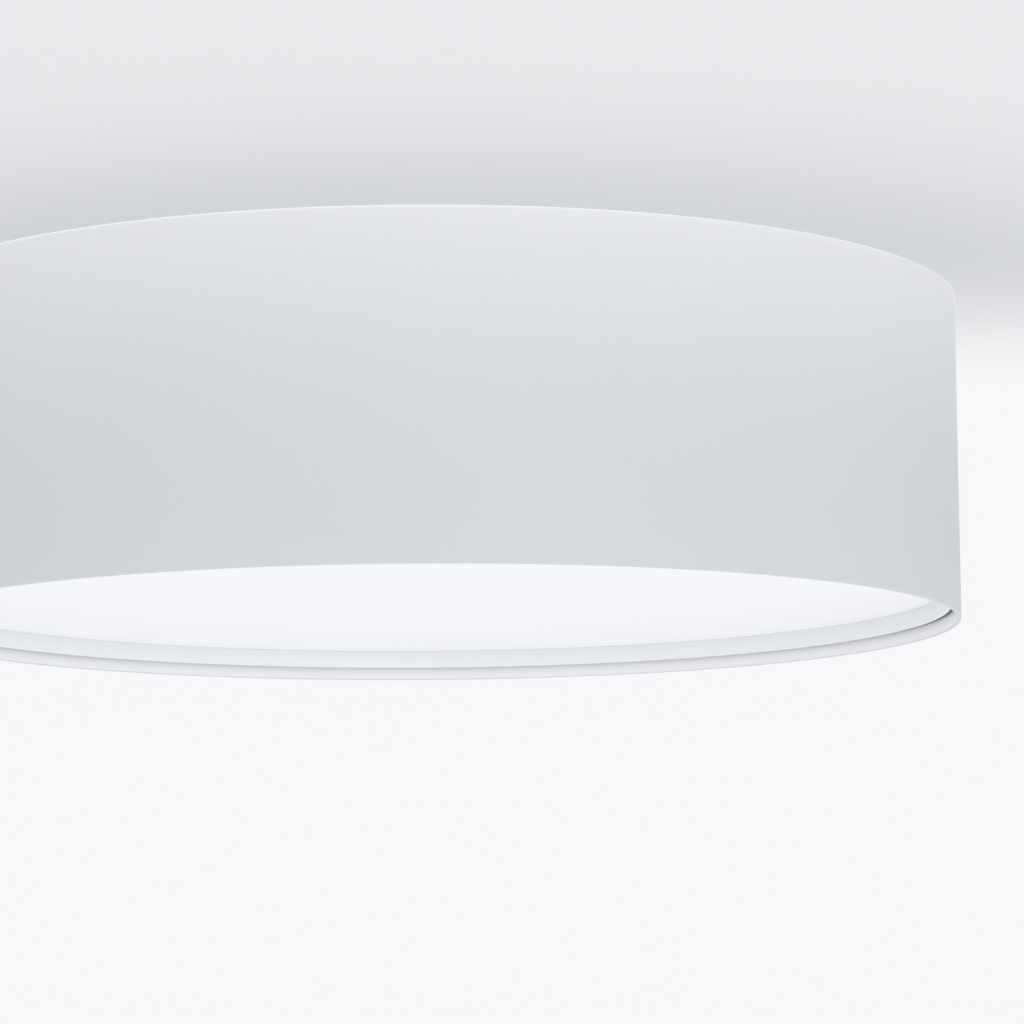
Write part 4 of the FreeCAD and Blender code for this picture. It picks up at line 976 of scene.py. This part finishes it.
bulb_start = 0.084
cap_end = bulb_start + 0.026
body_end = bulb_start + 0.062
dome_middle = body_end + 0.016
dome_radius = 0.030
cap_radius = 0.013
solder = metal("tinned_contact", (0.70, 0.70, 0.68), (0.55, 0.55, 0.54), 0.34, 300.0)
cap_metal = metal("rolled_cap", (0.80, 0.80, 0.81), (0.68, 0.68, 0.70), 0.2, 140.0)
insulator_black = coated("cap_insulator", (0.025, 0.02, 0.018), 0.12, 200.0, 0.00001,
                         Coat_Weight=0.5)
body_white = coated("bulb_body_plastic", (0.85, 0.85, 0.84), 0.33, 800.0, 0.00002)
dome_opal = coated("bulb_opal_dome", (0.92, 0.92, 0.90), 0.4, 600.0, 0.00001, tone=-0.01,
                   Subsurface_Weight=0.2)


def from_start(steps):
    """Profile with its heights measured from the bulb's end."""
    return [(radius, bulb_start + height) for radius, height in steps]


contact = turned_solid("centre_contact", from_start([
    (0.0012, 0), (0.0030, 0.0002), (0.0044, 0.0006), (0.0049, 0.0012), (0.0040, 0.0018),
]))
dress(lay_down(contact), solder, 0.00008)
belong_thrice(contact, "bulb_{}_tip", "contact_solder", "bulb_contact_{}")

insulator = turned_solid("insulator", from_start([
    (0.0048, 0.0013), (0.0056, 0.0014), (0.0095, 0.0038), (0.0100, 0.0060),
]), 64)
dress(lay_down(insulator), insulator_black, 0.0002)
belong_thrice(insulator, "bulb_{}", "bulb_plastic")

cap_start = bulb_start + 0.0065
cap_root = cap_radius - 0.0009
cap_wave = screw_thread("cap_wave", cap_radius, cap_radius - cap_root, cap_start, 4, thread_pitch)
with_modifier(cap_wave, "SOLIDIFY", thickness=0.0003, offset=-1.0)
cap_roll = turned_solid("cap_roll", from_start([
    (0.0094, 0.0040), (0.0106, 0.0044), (0.0119, 0.0052), (0.0123, 0.0064),
]) + [
    (cap_root, cap_start + thread_pitch / 2), (cap_root, cap_end - 0.0020),
    (cap_root + 0.0005, cap_end - 0.0018), (cap_radius, cap_end - 0.0012), (cap_radius, cap_end),
], 64)
cap = dress(lay_down(joined([cap_wave, cap_roll], "screw_cap")), cap_metal, angle=50)
belong_thrice(cap, "bulb_{}", "bulb_cap_metal", "bulb_cap_{}")

rim = math.sqrt(dome_radius ** 2 - (dome_middle - body_end) ** 2)
collar = 0.0138
flare_bend = 1.3
flare_steps = 12
flare = [(collar - 0.0008, cap_end - 0.0004), (collar, cap_end + 0.0004)]
for i in range(1, flare_steps):
    share = i / flare_steps
    widened = collar + (rim - collar) * share ** flare_bend
    flare.append((widened, cap_end + (body_end - cap_end) * share))
flare += [(rim - 0.0006, body_end - 0.0008), (rim - 0.0003, body_end - 0.0001),
          (rim - 0.0012, body_end)]
housing = dress(lay_down(turned_solid("bulb_body", flare, 96)), body_white, 0.0001)
belong_thrice(housing, "bulb_{}", "bulb_plastic", "bulb_housing_{}")

dome_steps = 24
first_angle = -math.asin((dome_middle - body_end) / dome_radius)
last_angle = math.radians(88)
dome = [(rim - 0.0010, body_end - 0.0006)]
for i in range(dome_steps + 1):
    angle = first_angle + (last_angle - first_angle) * i / dome_steps
    dome.append((dome_radius * math.cos(angle), dome_middle + dome_radius * math.sin(angle)))
globe = dress(lay_down(turned_solid("bulb_dome", dome, 96)), dome_opal)
belong_thrice(globe, "bulb_{}", "bulb_opal", "bulb_globe_{}")

# ------------------------------------------------------------------ the drum shade
# One steel sheet rolled into a drum and spot welded inside, its foot folded in and up as a
# hem, then powder coated in satin white. An angle ring with keyholes is welded in its top.

drum_low, drum_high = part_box("drum_shade")
drum_height = drum_high.z - drum_low.z
drum_radius = radius_of("drum_shade")
drum_sheet = 0.001
# Painted light in the coat's colour: paler towards the ceiling than at the foot, as the light
# falls, with a painted shade on the folded edge and a whiter inside that is partly its own paint
# and partly painted light.
foot_painted_shade = (0.678, 0.694, 0.720)
top_painted_light = (0.938, 0.945, 0.957)
fold_painted_shade = (0.680, 0.700, 0.725)
inside_white_and_painted_light = (0.920, 0.930, 0.945)
painted_light_rise = 2.5


def shade_tone_with_painted_light(tree):
    """Painted light: paler towards the ceiling, a painted shade on the folded edge, and whiter
    inside, partly its own paint and partly painted light.
    """
    place = object_place(tree)
    z = axis(tree, place, "Z")
    # Painted light: the coat pales from the foot towards the ceiling.
    share = arithmetic(tree, "MULTIPLY_ADD", z, 1 / drum_height, -drum_low.z / drum_height)
    coat = blended(tree, arithmetic(tree, "POWER", share, painted_light_rise), foot_painted_shade, top_painted_light)
    # Whiter inside: partly white paint, partly painted light from the diffuser.
    wall = (drum_radius - 1.2 * drum_sheet, drum_radius - 0.6 * drum_sheet)
    sides = blended(tree, ramp(tree, reach(tree, place), *wall), inside_white_and_painted_light, coat)
    # Painted shade: the folded edge at the foot is darker.
    painted_fold_shade_mask = ramp(tree, z, drum_low.z + 0.0002, drum_low.z + 0.0006)
    return blended(tree, painted_fold_shade_mask, fold_painted_shade, sides)


shade_white_painted_light = coated("shade_coat_with_painted_light", shade_tone_with_painted_light, 0.46, 1500.0, 0.00005, tone=-0.02)
hem_top = drum_low.z + 0.010
drum = turned_ring("drum_shell", [
    (drum_radius, drum_high.z),
    (drum_radius, drum_low.z),
    (drum_radius - 2 * drum_sheet, drum_low.z),
    (drum_radius - 2 * drum_sheet, hem_top),
    (drum_radius - drum_sheet, hem_top),
    (drum_radius - drum_sheet, drum_high.z),
])
belong(dress(drum, shade_white_painted_light, 0.00048, 3), "shade", "white_shade_paint", "drum_shade")

seam_width = 0.012
seam_sheet = 0.0008
seam_sunk = 0.0002
seam_angle = 60
seam_low = hem_top + 0.001
seam_high = drum_high.z - 0.014
seam_inside = drum_radius - drum_sheet - seam_sheet
weld_start = seam_low + 0.008
weld_pitch = 0.0125
weld_count = 10
weld_radius = 0.0020
weld_depth = 0.0008
seam_middle = (seam_inside + (seam_sheet + seam_sunk) / 2, 0, (seam_low + seam_high) / 2)
seam = bar(seam_middle, (seam_sheet + seam_sunk, seam_width, seam_high - seam_low), "drum_seam")
carve(seam, [
    peg((seam_inside, 0, weld_start + weld_pitch * i), weld_radius, weld_depth, 24,
        top=1.3 * weld_radius, rotation=(0, math.radians(90), 0))
    for i in range(weld_count)
])
belong(swung(dress(seam, shade_white_painted_light, 0.00015), seam_angle), "shade", "white_shade_paint")
dressed_copy("shade_ring", "keyhole_ring", shade_white_painted_light, 0.0003, "shade", "white_shade_paint")

# ------------------------------------------------------------------ clips for the diffuser
# Three zinc plated angle brackets are welded to the drum's wall. Each carries a leaf of spring
# steel, riveted twice, whose two tongues close round the neck of a snap stud.

spring = metal("spring_steel", (0.46, 0.47, 0.49), (0.36, 0.37, 0.40), 0.26, 220.0)
clip_circle = 0.236
clip_angles = (30, 150, 270)
for number in (1, 2, 3):
    dressed_copy(f"clip_bracket_{number}", f"clip_angle_{number}", zinc, 0.0002, "shade",
                 "zinc_plated_steel")
    dressed_copy(f"spring_clip_{number}", f"leaf_{number}", spring, 0.0001, "shade",
                 "spring_steel")

rivet_aside = 0.0103
rivet_shank = 0.0012
rivet_dome = [(0.0020, 0), (0.0018, 0.0003), (0.0013, 0.0005), (0.0006, 0.0006)]
clip_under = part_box("clip_bracket_1")[0].z
leaf_top = clip_under + 0.0017
rivet_profile = [(radius, leaf_top + rise) for radius, rise in reversed(rivet_dome)]
rivet_profile += [(rivet_shank, leaf_top), (rivet_shank, clip_under)]
rivet_profile += [(radius, clip_under - rise) for radius, rise in rivet_dome]
rivets = [
    moved(turned_solid("rivet", rivet_profile, 32), spot(clip_circle, angle, side * rivet_aside))
    for angle in clip_angles for side in (-1, 1)
]
belong(dress(joined(rivets, "rivet_set"), zinc), "shade", "zinc_plated_steel", "clip_rivets")

# ------------------------------------------------------------------ the diffuser
# A satin moulded frame holds a flat disc of opal acrylic on its ledge, inside the drum's foot.
# A thin dark ring in the gap round it is painted shadow, put where the gap is in shade. Three
# moulded ears clamp the disc, each with a turned and riveted stud.

frame_white = coated("frame_moulding", (0.90, 0.915, 0.94), 0.42, 900.0, 0.00003, tone=-0.02)
frame_low, frame_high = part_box("diffuser_frame")
frame_wall = 0.002
frame_radius = radius_of("diffuser_frame")
frame_inside = frame_radius - frame_wall
lower_radius = frame_radius - 0.0017
step_level = frame_low.z + 0.0065
ledge_level = frame_low.z + 0.0085
frame_ring = turned_ring("diffuser_rim", [
    (lower_radius - frame_wall, frame_low.z),
    (lower_radius, frame_low.z),
    (lower_radius, step_level),
    (frame_radius, step_level),
    (frame_radius, frame_high.z),
    (frame_inside, frame_high.z),
    (frame_inside, ledge_level),
    (lower_radius - frame_wall, ledge_level),
])
belong(dress(frame_ring, frame_white, 0.0004), "diffuser", "frame_plastic", "diffuser_frame")

# Painted shadow: a thin dark ring that fills the gap between the frame and the drum's hem.
shadow_ring_grey = coated("shadow_ring_finish", (0.16, 0.16, 0.165), 0.85, 2200.0, 0.0002)
shadow_ring_outside = drum_radius - 2 * drum_sheet - 0.0002
shadow_ring_low = frame_low.z + 0.0005
shadow_ring_high = shadow_ring_low + 0.0014
shadow_ring = turned_ring("painted_shadow_ring", [
    (lower_radius, shadow_ring_low), (shadow_ring_outside, shadow_ring_low), (shadow_ring_outside, shadow_ring_high),
    (lower_radius, shadow_ring_high),
])
belong(dress(shadow_ring, shadow_ring_grey, 0.0001), "diffuser", "grommet_rubber")

ear_inner = frame_inside - 0.0192
ear_outer = frame_inside + 0.0006
ear_middle = (ear_inner + ear_outer) / 2
ear_width = 0.024
ear_sheet = 0.0025
ear_corner = 0.006
neck = 0.0020
ear_size = (ear_outer - ear_inner, ear_width, ear_sheet)
ear = bar((ear_middle, 0, frame_high.z - ear_sheet / 2), ear_size, "diffuser_ear")


def on_inner_corner(edge):
    """True for the ear's two upright corners inside the rim."""
    one, other = [ear.data.vertices[i].co for i in edge.vertices]
    return abs(one.z - other.z) > 0.001 and one.x < ear_middle


pick(ear, "EDGE", on_inner_corner)
bpy.ops.mesh.bevel(offset=ear_corner, segments=8)
stop_shaping()
rib_size = (0.0080, 0.0012, 0.0016)
rib_places = [(frame_radius - 0.0060, side * 0.0085, frame_high.z - 0.0002) for side in (-1, 1)]
carve(ear, [bar(place, rib_size) for place in rib_places], "UNION")
carve(ear, [peg((clip_circle, 0, frame_high.z), neck + clearance, drill_length, 48)])
dress(swung(ear, clip_angles[0]), frame_white, 0.0002)
belong_thrice(ear, "diffuser", "frame_plastic")

opal_low, opal_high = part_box("opal_diffuser")
opal_radius = radius_of("opal_diffuser")
# The disc glows faintly: a painted glow, as from lit bulbs behind it, though the bulbs give no
# light.
opal_white_painted_glow = coated("opal_acrylic", (0.55, 0.555, 0.575), 0.26, 400.0, 0.00001, tone=-0.01,
                    spread=0.04, Emission_Color=(0.96, 0.97, 0.98), Emission_Strength=0.28)
opal = turned_solid("opal_disc", [
    (opal_radius - 0.001, opal_low.z), (opal_radius, opal_low.z), (opal_radius, opal_high.z),
    (opal_radius - 0.001, opal_high.z),
], 256)
belong(dress(opal, opal_white_painted_glow, 0.0003), "diffuser", "opal_acrylic", "opal_diffuser")

snap_low, snap_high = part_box("snap_stud_1")
snap_flange = 0.0050
snap_shoulder = snap_high.z - 0.004
snap = turned_solid("bullet_stud", [
    (neck - 0.0004, snap_low.z),
    (neck, snap_low.z + 0.0003),
    (neck, frame_high.z),
    (snap_flange, frame_high.z),
    (snap_flange, frame_high.z + 0.0010),
    (neck, frame_high.z + 0.0010),
    (neck, snap_shoulder),
    (0.0030, snap_shoulder + 0.0010),
    (0.0028, snap_shoulder + 0.0018),
    (0.0021, snap_shoulder + 0.0028),
    (0.0012, snap_shoulder + 0.0036),
    (0.0005, snap_high.z),
])
moved(snap, spot(clip_circle, clip_angles[0]))
dress(snap, zinc, 0.00015)
belong_thrice(snap, "diffuser", "zinc_plated_steel", "snap_stud_{}")
